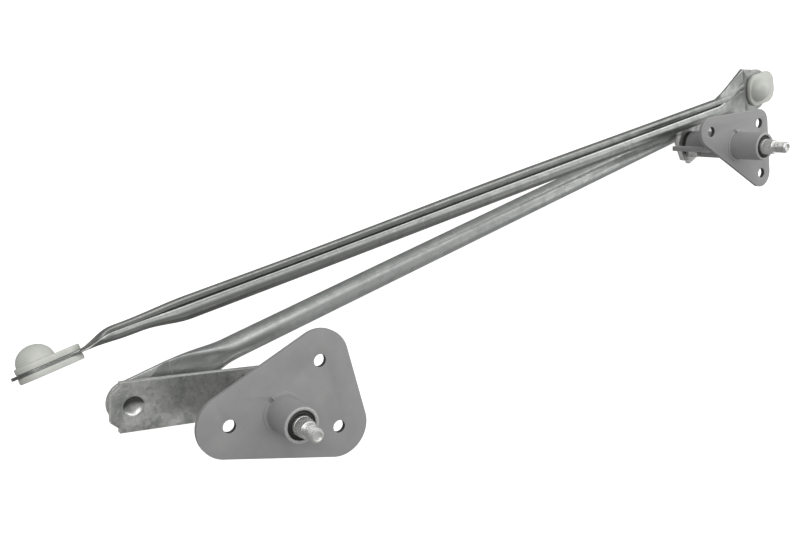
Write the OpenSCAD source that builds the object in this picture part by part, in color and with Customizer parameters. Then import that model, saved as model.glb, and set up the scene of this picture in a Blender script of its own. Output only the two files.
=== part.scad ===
// Wiper linkage: two spindle bearings with levers, a tie rod between them and a drive rod to the motor.
// Millimetres. +Z runs along the spindles towards their threads, +X from the left spindle to the right one.
// The origin lies on the left spindle axis, on the front face of the left bearing plate.

/* [Layout] */
// Distance between the two spindle axes as posed
spindle_spacing = 490; // [420:1:560]
// Turn of the right bearing about its spindle, degrees
right_turn = -17; // [-40:1:20]
// Direction of the left lever from its spindle, degrees
left_lever_angle = 157; // [140:1:175]
// Direction of the right lever from its spindle, degrees
right_lever_angle = 10.5; // [0:0.5:25]
// Direction of the drive rod, degrees
drive_angle = -6.2; // [-9:0.1:-5]

/* [Bearing plate] */
// Thickness of the plate
plate_t = 3.5; // [2:0.1:6]
// Radius of the three plate corners
corner_r = 22; // [18:0.5:26]
// Diameter of the three fixing holes
hole_d = 9; // [6:0.1:11]
// Left fixing hole, along X from the spindle
hole_a_x = -36; // [-44:0.5:-30]
// Left fixing hole, along Y from the spindle
hole_a_y = 11; // [4:0.5:18]
// Lower fixing hole, along X from the spindle
hole_b_x = 33.5; // [28:0.5:40]
// Lower fixing hole, along Y from the spindle
hole_b_y = -31.5; // [-38:0.5:-27]
// Upper fixing hole, along X from the spindle
hole_c_x = 37; // [32:0.5:44]
// Upper fixing hole, along Y from the spindle
hole_c_y = 20; // [15:0.5:26]
// Radius of the right plate's corners
right_corner_r = 13; // [11:0.5:16]
// Left fixing hole of the right plate, along X from the spindle
right_hole_a_x = -37.5; // [-42:0.5:-33]
// Left fixing hole of the right plate, along Y from the spindle
right_hole_a_y = 14.5; // [12:0.5:17]
// Lower fixing hole of the right plate, along X from the spindle
right_hole_b_x = 38; // [34:0.5:42]
// Lower fixing hole of the right plate, along Y from the spindle
right_hole_b_y = -28.5; // [-32:0.5:-27]
// Upper fixing hole of the right plate, along X from the spindle
right_hole_c_x = 31; // [28:0.5:36]
// Upper fixing hole of the right plate, along Y from the spindle
right_hole_c_y = 18.5; // [15:0.5:22]
// Width of the raised foot around the bearing tube
foot_w = 2; // [1:0.1:3]
// Height of the raised foot
foot_h = 1.6; // [0.8:0.1:3]
// Width of the notch in the foot
notch_w = 3.2; // [2:0.1:5]
// Depth of the notch into the plate
notch_sink = 0.5; // [0.2:0.1:1]
// Direction of the notch, degrees
notch_angle = 111; // [0:1:359]

/* [Bearing tube] */
// Outer diameter of the bearing tube
tube_d = 24.5; // [22:0.1:30]
// Wall of the bearing tube
tube_wall = 2.2; // [1.5:0.1:3]
// Chamfer at the tube's front rim
tube_rim = 0.6; // [0.3:0.1:1]
// Reach of the tube in front of the plate
tube_front = 28.5; // [20:0.5:45]
// Reach of the tube behind the plate's front face
tube_rear = 48; // [44:0.5:60]
// Length of each bearing bush
bush_len = 20; // [12:0.5:24]
// Radial running clearance of the spindle in its bushes
bush_clear = 0.05; // [0.02:0.01:0.1]
// Depth of the seal below the tube's front rim
seal_recess = 0.6; // [0.2:0.1:1.5]
// Thickness of the seal
seal_t = 3.4; // [2:0.1:5]
// Step of the seal's lip
seal_lip = 0.8; // [0.4:0.1:1.2]
// Radial gap between the seal and the spindle
seal_clear = 0.45; // [0.35:0.05:0.8]
// Gap between the seal and the clip below it
clip_gap = 0.5; // [0.3:0.1:1]
// Set-back of the rear bush from the tube's rear rim
bush_setback = 1; // [0.5:0.1:3]
// Thickness of the retaining clip
clip_t = 1.2; // [0.8:0.1:1.8]
// Depth of the clip groove in the spindle
clip_groove = 0.7; // [0.4:0.1:1.2]
// Width of the clip ring outside the spindle
clip_w = 2; // [1:0.1:2.3]
// Opening of the clip ring
clip_open = 3; // [2:0.1:5]

/* [Rear ear] */
// Right ear along X from its spindle
right_ear_x = -31; // [-40:0.5:-26]
// Right ear along Y from its spindle
right_ear_y = -2; // [-8:0.5:2]
// Left ear along X from its spindle
left_ear_x = 5; // [0:0.5:12]
// Left ear along Y from its spindle
left_ear_y = -27; // [-30:0.5:-24]
// Width of the ear
ear_w = 12; // [10:0.5:16]
// Thickness of the ear
ear_t = 4; // [3:0.1:5]
// Gap kept between the ear's end and the level of the tube's rear rim
ear_short = 2; // [1:0.5:8]
// Hole through the ear
ear_hole_d = 6.6; // [5:0.1:7]
// Distance of the hole behind the plate
ear_hole_drop = 20; // [12:0.5:28]
// Step from the ear's hole to the nut's core
nut_step = 0.7; // [0.4:0.1:1]
// Width across flats of the weld nut
nut_af = 12; // [10:0.1:13]
// Height of the weld nut
nut_h = 5; // [3:0.1:7]

/* [Spindle] */
// Spindle diameter in the bushes
shaft_d = 14; // [11:0.1:15]
// Plain length of the spindle above the tube
shaft_above = 1.5; // [0.5:0.1:4]
// Length of the knurled cone
cone_len = 8; // [5:0.5:12]
// Taper of the knurled cone, on the radius
cone_taper = 0.9; // [0.5:0.1:1.5]
// Length of the neck under the thread
neck_len = 1.6; // [1:0.1:3]
// Thread diameter
thread_d = 10; // [8:1:10]
// Length of the threaded end
thread_len = 10.6; // [8:0.2:20]
// Depth of the neck and of the thread's run-out
neck_step = 0.7; // [0.4:0.1:1]
// Chamfer at the spindle's end
thread_chamfer = 1.2; // [0.5:0.1:1.8]
// Diameter of the recess in the spindle's end
recess_d = 5.6; // [3:0.1:6]
// Depth of the recess in the spindle's end
recess_depth = 1.4; // [0.5:0.1:3]
// Diameter of the riveted shank in the lever
shank_d = 11; // [9:0.1:11]
// Diameter of the rivet head behind the lever
head_d = 17; // [15:0.1:19]
// Height of the rivet head
head_h = 2; // [1:0.1:2.4]

/* [Levers] */
// Thickness of the thrust washer between tube and lever
washer_t = 3.7; // [2:0.1:5]
// Step of the thrust washer inside the tube's outline
washer_step = 0.3; // [0.1:0.1:1]
// End play between tube and washer
end_play = 0.3; // [0.2:0.05:0.5]
// Lever thickness
lever_t = 5; // [4:0.1:6]
// Lever width
lever_w = 34.5; // [32:0.5:38]
// Left spindle to ball distance
left_ball_r = 83.4; // [75:0.1:95]
// Distance of the right tie ball along the lever
right_tie_r = 83; // [75:0.5:95]
// Sideways place of the right tie ball on the lever
right_tie_side = -8.3; // [-9:0.1:-7.5]
// Distance of the drive ball along the lever
drive_ball_r = 97.2; // [92:0.1:104]
// Sideways place of the drive ball on the lever
drive_ball_side = 3.4; // [2:0.1:5]
// Lever end beyond its outermost ball
end_reach = 15; // [13:0.5:18]
// Length of the clipped corners
clip_len = 6; // [4:0.5:8]
// Side step where a clipped corner starts
clip_step = 3; // [2:0.1:4]
// Half width of the lever's square end
end_half = 9.5; // [8:0.1:11]
// Lever end behind the spindle
tail_reach = 15; // [13:0.5:18]

/* [Ball joints] */
// Ball diameter
ball_d = 16; // [14:0.1:17]
// Neck diameter under a ball
neck_d = 12.6; // [11:0.1:13]
// Diameter of the dimple drawn into the lever in front of a ball
dimple_d = 14; // [11:0.1:15]
// Ball centre to lever face
ball_drop = 9; // [8.5:0.1:11]
// Gap between ball and socket
ball_gap = 0.35; // [0.3:0.05:0.6]
// Wall of the socket cup
cup_wall = 3.2; // [2.4:0.1:3.4]
// Extra height of the cup's dome
dome_rise = 2.2; // [0:0.1:3]
// Thickness of the socket flanges
flange_t = 2.6; // [1.5:0.1:3]
// Flange overhang around the cup
flange_w = 2.6; // [1.5:0.1:3]
// Step between a round socket's two flanges
flange_step = 0.8; // [0.4:0.1:1.5]
// Undercut that holds a ball in its socket
throat_step = 0.7; // [0.4:0.1:1]
// Thickness of the rods' flattened ends
sheet_t = 3.2; // [2.4:0.1:4]
// Length of the oblong socket plates
pad_l = 39; // [34:0.5:41]
// Width of the oblong socket plates
pad_w = 31; // [28:0.5:34]
// Thickness of the oblong socket plates
pad_t = 3.4; // [2.6:0.1:3.8]
// Corner radius of the oblong socket plates
pad_corner = 12; // [8:0.5:14]
// Shift of the oblong socket plates from their ball
pad_shift = 6.5; // [2:0.5:8]
// Step from a ball's neck to its stud
stud_step = 1; // [0.5:0.1:2]
// Length of the stud's rivet head
stud_head_h = 1.6; // [1:0.1:2]

/* [Tie rod] */
// Tube diameter
tie_d = 17.5; // [15:0.1:18]
// Tube wall
tie_wall = 1.5; // [1:0.1:2.5]
// Length of the solid plugs that close the tube's ends
tie_plug = 2; // [1:0.1:4]
// Drop of the tube centre below the balls
tie_drop = 4.5; // [4:0.1:7]
// Radius of the flattened eyes
tie_eye_r = 15; // [14.5:0.1:17]
// Width of the flattened neck
tie_flat_w = 25.5; // [22:0.5:28]
// Length of the flattened neck
tie_flat_len = 34; // [28:1:45]
// Length of the change from flat to tube
tie_change = 44; // [30:1:60]

/* [Drive rod] */
// Distance from the drive ball to the motor ball
drive_len = 706.5; // [620:0.5:760]
// Offset of the rod's centre line from the drive ball
drive_offset = -3.7; // [-6:0.1:-2]
// Height of the rod's centre over the right lever
drive_rise = 10.5; // [9.5:0.1:12]
// Radius of the rod's wide lobe
lobe_r = 5.6; // [5:0.1:6]
// Radius of the rod's narrow lobe
rim_r = 3.6; // [3.2:0.1:4]
// Distance between the lobe centres
lobe_gap = 8.8; // [8.4:0.1:9.2]
// Drop of the narrow lobe's centre
rim_drop = 0.6; // [0:0.1:1]
// Sheet thickness of the rolled rod
roll_t = 1.4; // [1:0.1:1.8]
// Height of the rolled sheet's free edge over the rod's centre
lip_h = 3.6; // [2.5:0.1:4.5]
// Thickness of the rolled sheet's free edge
lip_t = 1; // [0.6:0.1:1.2]
// Radius of the fan around the drive ball
fan_r = 20.2; // [18.5:0.1:22]
// Distance from the drive ball at which the rod starts to open
fan_len = 66; // [56:1:80]
// Wing corner of the fan, before the drive ball
wing_x = 18; // [14:0.5:22]
// Wing corner of the fan, sideways from the drive ball
wing_y = 22.6; // [20.5:0.1:25]
// Lower corner of the fan, sideways from the drive ball
wing_low = 17.8; // [16:0.1:19.5]
// Radius of the fan's raised edges
bead_r = 1.9; // [1.7:0.1:2.2]
// End of the middle bead, before the drive ball
bead_end = 15.5; // [14.5:0.5:20]
// End of the middle bead, sideways from the drive ball
bead_side = 7; // [4:0.1:9]
// Way along the fan at which its upper edge leaves the rod
rim_start = 5; // [0:0.5:10]
// Radius of the upright eye at the motor ball
motor_eye_r = 16.5; // [15.8:0.1:18]
// Length of the upright strip from the motor ball
motor_strip = 30; // [29:1:40]
// Length over which the rod folds into the upright strip
motor_change = 52; // [45:1:80]
// Offset of the motor ball from the rod's centre line
motor_offset = -3.5; // [-5:0.1:1]
// Turn of the upright strip against the rod, degrees
motor_turn = 3; // [0:0.5:5]
// Lean of the upright strip about its own length, degrees
motor_lean = 17.5; // [0:0.5:25]
// Length of the wide lobe's rounded end
belly_len = 11; // [6:0.5:20]
// Radius of the wide lobe's rounded end
belly_r = 3.2; // [2.5:0.1:4]

/* [Hidden] */
$fn = 64;
hull_fn = 32;
slice = 0.6;
seam = 0.03;
lap = 1.5;
inset = 0.15;
cut = 1;

grey_paint = [0.46, 0.47, 0.47];
zinc = [0.66, 0.67, 0.66];
steel = [0.78, 0.78, 0.77];
black = [0.04, 0.04, 0.04];
bronze = [0.62, 0.5, 0.3];
nylon = [0.86, 0.86, 0.82];

tube_r = tube_d / 2;
bore_r = tube_r - tube_wall;
shaft_r = shaft_d / 2;
foot_r = tube_r + foot_w;
left_holes = [[hole_a_x, hole_a_y], [hole_b_x, hole_b_y], [hole_c_x, hole_c_y]];
right_holes = [[right_hole_a_x, right_hole_a_y], [right_hole_b_x, right_hole_b_y], [right_hole_c_x, right_hole_c_y]];

z_seal_top = tube_front - seal_recess;
z_seal_low = z_seal_top - seal_t;
z_clip = z_seal_low - clip_gap - clip_t;
z_bush_top = z_clip - end_play;
z_rear = -tube_rear;
z_lever = z_rear - end_play - washer_t;
z_lever_back = z_lever - lever_t;
z_tie_ball = z_lever_back - ball_drop;
z_drive_ball = z_lever + ball_drop;
z_cone = tube_front + shaft_above;
z_neck = z_cone + cone_len;
z_thread = z_neck + neck_len;
z_tip = z_thread + thread_len;

ball_r = ball_d / 2;
cavity_r = ball_r + ball_gap;
cup_r = cavity_r + cup_wall;
throat_r = ball_r - throat_step;
flange_r = cup_r + flange_w;
dome_h = cavity_r + cup_wall + dome_rise;
stud_r = neck_d / 2 - stud_step;

right_axis = [spindle_spacing, 0];
left_ball = left_ball_r * [cos(left_lever_angle), sin(left_lever_angle)];
right_tie_ball = right_axis + turned([right_tie_r, right_tie_side], right_lever_angle);
drive_ball = right_axis + turned([drive_ball_r, drive_ball_side], right_lever_angle);
tie_vector = right_tie_ball - left_ball;
tie_len = norm(tie_vector);
tie_angle = atan2(tie_vector[1], tie_vector[0]);
z_tie = z_tie_ball - tie_drop;
z_drive = z_lever + drive_rise;
wide_off = (lobe_r - rim_r - lobe_gap) / 2;
narrow_off = wide_off + lobe_gap;
wide_y = drive_offset + wide_off;
narrow_y = drive_offset + narrow_off;
x_fan = -fan_len;
x_motor = -drive_len + motor_strip + motor_change;
motor_ball = [-drive_len, drive_offset + motor_offset];

// A plan vector turned by an angle.
function turned(v, a) = [v[0] * cos(a) - v[1] * sin(a), v[0] * sin(a) + v[1] * cos(a)];

// The unit normal on the right of the way from p to q.
function side_of(p, q) = [q[1] - p[1], p[0] - q[0]] / norm(q - p);

// A quarter arc of an ellipse from its side to its top, as profile points.
function quarter(rx, ry, z, steps) = [for (i = [0:steps]) [rx * cos(90 * i / steps), z + ry * sin(90 * i / steps)]];

module at_right() {
  translate([right_axis[0], right_axis[1], 0]) children();
}

module ring(outer, inner, low, high) {
  difference() {
    translate([0, 0, low]) cylinder(r = outer, h = high - low);
    translate([0, 0, low - cut]) cylinder(r = inner, h = high - low + 2 * cut);
  }
}

// Bearing unit, drawn about its own spindle axis.

module plate_body(holes, corner) {
  reach = corner - seam;
  sides = [for (i = [0:2]) reach * side_of(holes[i], holes[(i + 1) % 3])];
  translate([0, 0, -plate_t]) {
    linear_extrude(plate_t)
      polygon([for (i = [0:2]) each [holes[i] + sides[i], holes[(i + 1) % 3] + sides[i]]]);
    for (h = holes)
      translate([h[0], h[1], 0]) cylinder(r = corner, h = plate_t);
  }
  translate([0, 0, -plate_t]) cylinder(r = foot_r, h = plate_t + foot_h);
}

module bearing_plate(holes, corner) {
  color(grey_paint) difference() {
    plate_body(holes, corner);
    translate([0, 0, -plate_t - cut]) cylinder(r = tube_r, h = plate_t + foot_h + 2 * cut);
    for (h = holes)
      translate([h[0], h[1], -plate_t - cut]) cylinder(d = hole_d, h = plate_t + 2 * cut);
    rotate(notch_angle) translate([tube_r - cut, -notch_w / 2, -notch_sink])
      cube([foot_w + 2 * cut, notch_w, notch_sink + foot_h + cut]);
  }
}

module bearing_tube() {
  color(grey_paint) rotate_extrude() polygon([
    [bore_r, z_rear], [tube_r, z_rear], [tube_r, tube_front - tube_rim], [tube_r - tube_rim, tube_front],
    [bore_r + tube_rim, tube_front], [bore_r, tube_front - tube_rim]]);
}

module bush(high) {
  color(bronze) ring(bore_r, shaft_r + bush_clear, high - bush_len, high);
}

module seal() {
  inner = shaft_r + seal_clear;
  shoulder = z_seal_top - seal_lip;
  color(black) rotate_extrude() polygon([
    [inner, z_seal_low], [bore_r, z_seal_low], [bore_r, shoulder], [bore_r - seal_lip, shoulder],
    [inner + seal_lip, z_seal_top], [inner, z_seal_top]]);
}

module clip() {
  color(steel) difference() {
    ring(shaft_r + clip_w, shaft_r - clip_groove, z_clip, z_clip + clip_t);
    translate([shaft_r - cut, -clip_open / 2, z_clip - cut])
      cube([clip_w + 2 * cut, clip_open, clip_t + 2 * cut]);
  }
}

module ear(ear_x, ear_y) {
  ear_end = z_rear + ear_short;
  round_r = ear_w / 2;
  color(grey_paint) difference() {
    union() {
      translate([ear_x - round_r, ear_y - ear_t / 2, ear_end + round_r])
        cube([ear_w, ear_t, -plate_t - ear_end - round_r]);
      translate([ear_x, ear_y + ear_t / 2, ear_end + round_r]) rotate([90, 0, 0])
        cylinder(r = round_r, h = ear_t);
    }
    translate([ear_x, ear_y + ear_t / 2 + cut, -plate_t - ear_hole_drop]) rotate([90, 0, 0])
      cylinder(d = ear_hole_d, h = ear_t + 2 * cut);
  }
}

module ear_nut(ear_x, ear_y) {
  core_d = ear_hole_d - 2 * nut_step;
  color(zinc) translate([ear_x, ear_y - ear_t / 2, -plate_t - ear_hole_drop]) rotate([90, 0, 0])
    difference() {
      cylinder(d = nut_af / cos(30), h = nut_h, $fn = 6);
      translate([0, 0, -cut]) cylinder(d = core_d, h = nut_h + 2 * cut);
    }
}

module washer() {
  color(black) ring(tube_r - washer_step, shaft_r, z_lever, z_lever + washer_t);
}

module spindle() {
  head_r = head_d / 2;
  shank_r = shank_d / 2;
  groove_r = shaft_r - clip_groove;
  thread_r = thread_d / 2;
  head_edge = head_h / 3;
  recess_r = recess_d / 2;
  color(steel) rotate_extrude() polygon([
    [0, z_lever_back - head_h], [head_r - head_edge, z_lever_back - head_h],
    [head_r, z_lever_back - head_h + head_edge], [head_r, z_lever_back],
    [shank_r, z_lever_back], [shank_r, z_lever], [shaft_r, z_lever],
    [shaft_r, z_clip], [groove_r, z_clip], [groove_r, z_clip + clip_t], [shaft_r, z_clip + clip_t],
    [shaft_r, z_cone], [shaft_r - cone_taper, z_neck],
    [thread_r - neck_step, z_neck], [thread_r - neck_step, z_thread - neck_step], [thread_r, z_thread],
    [thread_r, z_tip - thread_chamfer], [thread_r - thread_chamfer, z_tip],
    [recess_r, z_tip], [recess_r, z_tip - recess_depth], [0, z_tip - recess_depth]]);
}

// A lever blank along +X from its spindle, with clipped corners at both ends.
module lever_blank(far) {
  half = lever_w / 2;
  stepped = half - clip_step;
  tip = far + end_reach;
  translate([0, 0, z_lever_back]) linear_extrude(lever_t) polygon([
    [-tail_reach, -end_half], [-tail_reach + clip_len, -stepped], [-tail_reach + clip_len, -half],
    [tip - clip_len, -half], [tip - clip_len, -stepped], [tip, -end_half],
    [tip, end_half], [tip - clip_len, stepped], [tip - clip_len, half],
    [-tail_reach + clip_len, half], [-tail_reach + clip_len, stepped], [-tail_reach, end_half]]);
}

// A ball drawn out of the lever's back.
module drawn_ball() {
  translate([0, 0, z_tie_ball]) sphere(r = ball_r);
  translate([0, 0, z_tie_ball]) cylinder(d = neck_d, h = ball_drop + lap);
}

module drawn_dimple() {
  translate([0, 0, z_lever]) sphere(d = dimple_d);
}

module spindle_hole() {
  translate([0, 0, z_lever_back - cut]) cylinder(d = shank_d, h = lever_t + 2 * cut);
}

module left_lever() {
  color(zinc) rotate(left_lever_angle) difference() {
    union() {
      lever_blank(left_ball_r);
      translate([left_ball_r, 0, 0]) drawn_ball();
    }
    spindle_hole();
    translate([left_ball_r, 0, 0]) drawn_dimple();
  }
}

module right_lever() {
  color(zinc) at_right() rotate(right_lever_angle) difference() {
    union() {
      lever_blank(drive_ball_r);
      translate([right_tie_r, right_tie_side, 0]) drawn_ball();
    }
    spindle_hole();
    translate([right_tie_r, right_tie_side, 0]) drawn_dimple();
    translate([drive_ball_r, drive_ball_side, z_lever_back - cut]) cylinder(r = stud_r, h = lever_t + 2 * cut);
  }
}

module drive_stud() {
  color(steel) translate([drive_ball[0], drive_ball[1], 0]) {
    translate([0, 0, z_drive_ball]) sphere(r = ball_r);
    translate([0, 0, z_lever]) cylinder(d = neck_d, h = ball_drop);
    translate([0, 0, z_lever_back]) cylinder(r = stud_r, h = lever_t);
    translate([0, 0, z_lever_back - stud_head_h]) cylinder(r = neck_d / 2, h = stud_head_h);
  }
}

// Sockets, drawn about the ball centre with the closed dome towards +Z and the rod's sheet just below it.

module cup_solid(thick) {
  rotate_extrude() polygon(concat(
    [[0, -sheet_t - thick], [cup_r, -sheet_t - thick]],
    quarter(cup_r, dome_h - thick, thick, 10)));
}

module ball_space(thick) {
  sphere(r = cavity_r);
  translate([0, 0, -sheet_t - thick - cut]) cylinder(r = throat_r, h = sheet_t + thick + cut);
}

module round_socket() {
  color(nylon) difference() {
    union() {
      cup_solid(flange_t);
      translate([0, 0, -sheet_t - flange_t]) cylinder(r = flange_r, h = flange_t);
      cylinder(r = flange_r - flange_step, h = flange_t);
    }
    ball_space(flange_t);
  }
}

module pad(low, thick) {
  inset_x = pad_l / 2 - pad_corner;
  inset_y = pad_w / 2 - pad_corner;
  translate([-inset_x, -pad_w / 2, low]) cube([2 * inset_x, pad_w, thick]);
  translate([-pad_l / 2, -inset_y, low]) cube([pad_l, 2 * inset_y, thick]);
  for (sx = [-1, 1])
    for (sy = [-1, 1])
      translate([sx * inset_x, sy * inset_y, low]) cylinder(r = pad_corner, h = thick);
}

module pad_socket() {
  color(nylon) difference() {
    union() {
      cup_solid(pad_t);
      translate([pad_shift, 0, 0]) pad(0, pad_t);
      translate([pad_shift, 0, 0]) pad(-sheet_t - pad_t, pad_t);
    }
    ball_space(pad_t);
  }
}

// Tie rod, drawn along +X from the left ball.

module tie_end() {
  eye_z = z_tie_ball;
  difference() {
    union() {
      translate([0, 0, eye_z]) cylinder(r = tie_eye_r, h = sheet_t);
      translate([0, -tie_flat_w / 2, eye_z]) cube([tie_flat_len + slice, tie_flat_w, sheet_t]);
      hull() {
        translate([tie_flat_len - lap, inset - tie_flat_w / 2, eye_z + inset])
          cube([slice, tie_flat_w - 2 * inset, sheet_t - 2 * inset]);
        translate([tie_flat_len + tie_change, 0, z_tie]) rotate([0, 90, 0])
          cylinder(d = tie_d, h = slice, $fn = hull_fn);
      }
    }
    translate([0, 0, eye_z - cut]) cylinder(r = cup_r, h = sheet_t + 2 * cut);
  }
}

module tie_rod() {
  start = tie_flat_len + tie_change;
  tube_len = tie_len - 2 * start;
  color(zinc) translate([left_ball[0], left_ball[1], 0]) rotate(tie_angle) {
    tie_end();
    translate([tie_len, 0, 0]) mirror([1, 0, 0]) tie_end();
    translate([start, 0, z_tie]) rotate([0, 90, 0]) difference() {
      cylinder(d = tie_d, h = tube_len);
      translate([0, 0, tie_plug]) cylinder(d = tie_d - 2 * tie_wall, h = tube_len - 2 * tie_plug);
    }
  }
}

// Drive rod, drawn about the drive ball, running along -X.

module at_drive() {
  translate([drive_ball[0], drive_ball[1], 0]) rotate(drive_angle) children();
}

// Places a section drawn across the rod at a distance x along it.
module across(x, y, z) {
  translate([x, y, z]) rotate([90, 0, 90]) children();
}

module rod_section() {
  wide = [wide_off, 0];
  narrow = [narrow_off, -rim_drop];
  difference() {
    union() {
      translate(wide) circle(r = lobe_r);
      translate(narrow) circle(r = rim_r);
      translate([wide[0], narrow[1] - rim_r + inset]) square([lobe_gap, 2 * roll_t]);
      translate([wide[0] + lobe_r - roll_t, 0]) square([lip_t, lip_h]);
    }
    translate(wide) circle(r = lobe_r - roll_t);
    translate(narrow) circle(r = rim_r - roll_t);
  }
}

module lobe_slice(x, y, z, r) {
  across(x, y, z) cylinder(r = r, h = slice, $fn = hull_fn);
}

// The sheet opens from the rod into a fan: two raised edges, and a middle bead that runs up to the socket.
module fan_end() {
  top = z_drive_ball - sheet_t;
  rim_z = z_drive_ball - bead_r / 2;
  difference() {
    union() {
      translate([0, 0, top]) cylinder(r = fan_r, h = sheet_t);
      translate([0, 0, top + inset]) linear_extrude(sheet_t - 2 * inset)
        polygon([[-wing_x, -wing_low], [0, inset - fan_r], [0, fan_r - inset], [-wing_x, wing_y]]);
      hull() {
        translate([x_fan - slice, wide_y, z_drive - rim_r - rim_drop + 2 * inset])
          cube([slice, lobe_gap, 2 * (roll_t - inset)]);
        translate([-wing_x, -wing_low, top + 2 * inset])
          cube([slice, wing_low + wing_y, sheet_t - 4 * inset]);
      }
      hull() {
        lobe_slice(x_fan - slice, wide_y, z_drive, lobe_r - 2 * inset);
        lobe_slice(-wing_x, -wing_low, rim_z, bead_r);
      }
      hull() {
        lobe_slice(x_fan - slice, narrow_y, z_drive - rim_drop, rim_r - 2 * inset);
        lobe_slice(-bead_end, bead_side, rim_z, bead_r - inset);
      }
      hull() {
        lobe_slice(x_fan + rim_start, narrow_y + rim_r - bead_r, z_drive - rim_drop, bead_r - inset);
        lobe_slice(-wing_x, wing_y, rim_z, bead_r);
      }
    }
    translate([0, 0, top - cut]) cylinder(r = cup_r, h = sheet_t + 2 * cut);
  }
}

// Frame of the motor ball: X along the strip to the rod, Z out of the socket's dome.
module at_motor() {
  translate([motor_ball[0], motor_ball[1], z_drive]) rotate([0, 0, motor_turn])
    rotate([-90 - motor_lean, 0, 0]) children();
}

// A thin slice across the strip's end, smaller than the strip by a margin all round.
module strip_slice(margin) {
  at_motor() translate([motor_strip - lap - margin, margin - motor_eye_r, margin - sheet_t])
    cube([slice, 2 * (motor_eye_r - margin), sheet_t - 2 * margin]);
}

// Both lobes press together into a strip that stands on edge, so its socket opens sideways.
module motor_end() {
  lip_r = lobe_r / 2;
  difference() {
    union() {
      at_motor() translate([0, 0, -sheet_t]) cylinder(r = motor_eye_r, h = sheet_t);
      at_motor() translate([0, -motor_eye_r, -sheet_t]) cube([motor_strip, 2 * motor_eye_r, sheet_t]);
      hull() {
        strip_slice(inset);
        lobe_slice(x_motor + lap, narrow_y, z_drive - rim_drop, rim_r - inset);
      }
      hull() {
        strip_slice(2 * inset);
        lobe_slice(x_motor + lap, wide_y + lobe_r - lip_r, z_drive, lip_r - inset);
      }
      hull() {
        lobe_slice(x_motor + lap, wide_y, z_drive, lobe_r - inset);
        translate([x_motor - belly_len, wide_y + lobe_r - belly_r, z_drive])
          sphere(r = belly_r, $fn = hull_fn);
      }
    }
    at_motor() translate([0, 0, -sheet_t - cut]) cylinder(r = cup_r, h = sheet_t + 2 * cut);
  }
}

module drive_rod() {
  color(zinc) at_drive() {
    across(x_motor, drive_offset, z_drive) linear_extrude(x_fan - x_motor + slice) rod_section();
    fan_end();
    motor_end();
  }
}

module motor_socket() {
  at_drive() at_motor() pad_socket();
}

module drive_socket() {
  at_drive() translate([0, 0, z_drive_ball]) pad_socket();
}

module left_tie_socket() {
  translate([left_ball[0], left_ball[1], z_tie_ball]) rotate([180, 0, 0]) round_socket();
}

module right_tie_socket() {
  translate([right_tie_ball[0], right_tie_ball[1], z_tie_ball]) rotate([180, 0, 0]) round_socket();
}

module at_right_bearing() {
  at_right() rotate(right_turn) children();
}

bearing_plate(left_holes, corner_r);  // left_plate
bearing_tube();  // left_tube
ear(left_ear_x, left_ear_y);  // left_ear
ear_nut(left_ear_x, left_ear_y);  // left_ear_nut
bush(z_bush_top);  // left_bush_front
bush(z_rear + bush_setback + bush_len);  // left_bush_rear
seal();  // left_seal
clip();  // left_clip
washer();  // left_washer
spindle();  // left_spindle
left_lever();
at_right_bearing() bearing_plate(right_holes, right_corner_r);  // right_plate
at_right_bearing() bearing_tube();  // right_tube
at_right_bearing() ear(right_ear_x, right_ear_y);  // right_ear
at_right_bearing() ear_nut(right_ear_x, right_ear_y);  // right_ear_nut
at_right_bearing() bush(z_bush_top);  // right_bush_front
at_right_bearing() bush(z_rear + bush_setback + bush_len);  // right_bush_rear
at_right_bearing() seal();  // right_seal
at_right() clip();  // right_clip
at_right() washer();  // right_washer
at_right() spindle();  // right_spindle
right_lever();
drive_stud();
tie_rod();
left_tie_socket();
right_tie_socket();
drive_rod();
drive_socket();
motor_socket();
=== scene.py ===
"""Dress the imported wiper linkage: two spindle bearings, two levers, a tie rod and a rolled drive rod.

The pieces' own sizes are in millimetres, and the studio's are in metres.
"""

import logging
import math
from dataclasses import dataclass, field
from enum import Enum
from functools import cache
from typing import Any, Callable, Sequence

import bmesh
import bpy
from mathutils import Matrix, Vector


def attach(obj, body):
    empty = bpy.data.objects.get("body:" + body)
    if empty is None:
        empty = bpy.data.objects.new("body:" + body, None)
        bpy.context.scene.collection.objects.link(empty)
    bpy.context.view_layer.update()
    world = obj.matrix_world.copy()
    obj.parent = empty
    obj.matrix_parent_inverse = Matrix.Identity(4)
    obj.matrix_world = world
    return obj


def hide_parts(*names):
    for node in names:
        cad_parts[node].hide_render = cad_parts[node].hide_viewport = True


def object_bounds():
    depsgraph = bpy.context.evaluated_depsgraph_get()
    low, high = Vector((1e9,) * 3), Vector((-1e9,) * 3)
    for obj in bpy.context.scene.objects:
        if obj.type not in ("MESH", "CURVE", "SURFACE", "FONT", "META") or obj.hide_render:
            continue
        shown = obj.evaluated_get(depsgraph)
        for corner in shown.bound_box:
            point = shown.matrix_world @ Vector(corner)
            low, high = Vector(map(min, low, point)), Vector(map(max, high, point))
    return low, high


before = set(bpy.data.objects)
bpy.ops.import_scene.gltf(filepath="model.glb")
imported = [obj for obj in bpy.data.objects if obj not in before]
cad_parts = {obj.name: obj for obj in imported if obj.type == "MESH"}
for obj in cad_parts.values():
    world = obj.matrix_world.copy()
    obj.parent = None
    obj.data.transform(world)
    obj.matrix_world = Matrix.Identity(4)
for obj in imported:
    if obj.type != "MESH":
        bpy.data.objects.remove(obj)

MM = 0.001
CAD_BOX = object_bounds()
# Face layer of the edge faces that get the mask of edge wear and painted highlight.
EDGE_LAYER = "edge"
# Face layer that marks where shade is painted into the colour: the plates' hole walls and the upper wall of
# each lever's dimple.
SHADE_LAYER = "painted_shade"
# Corners of a copied CAD mesh nearer than this, in metres, are one.
MERGE = 2e-6
# Its faces that meet at less than this angle are one.
FLAT_DEGREES = 0.4
# A face whose normal rises less than this stands upright.
SIDE_NORMAL = 0.4
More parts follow.
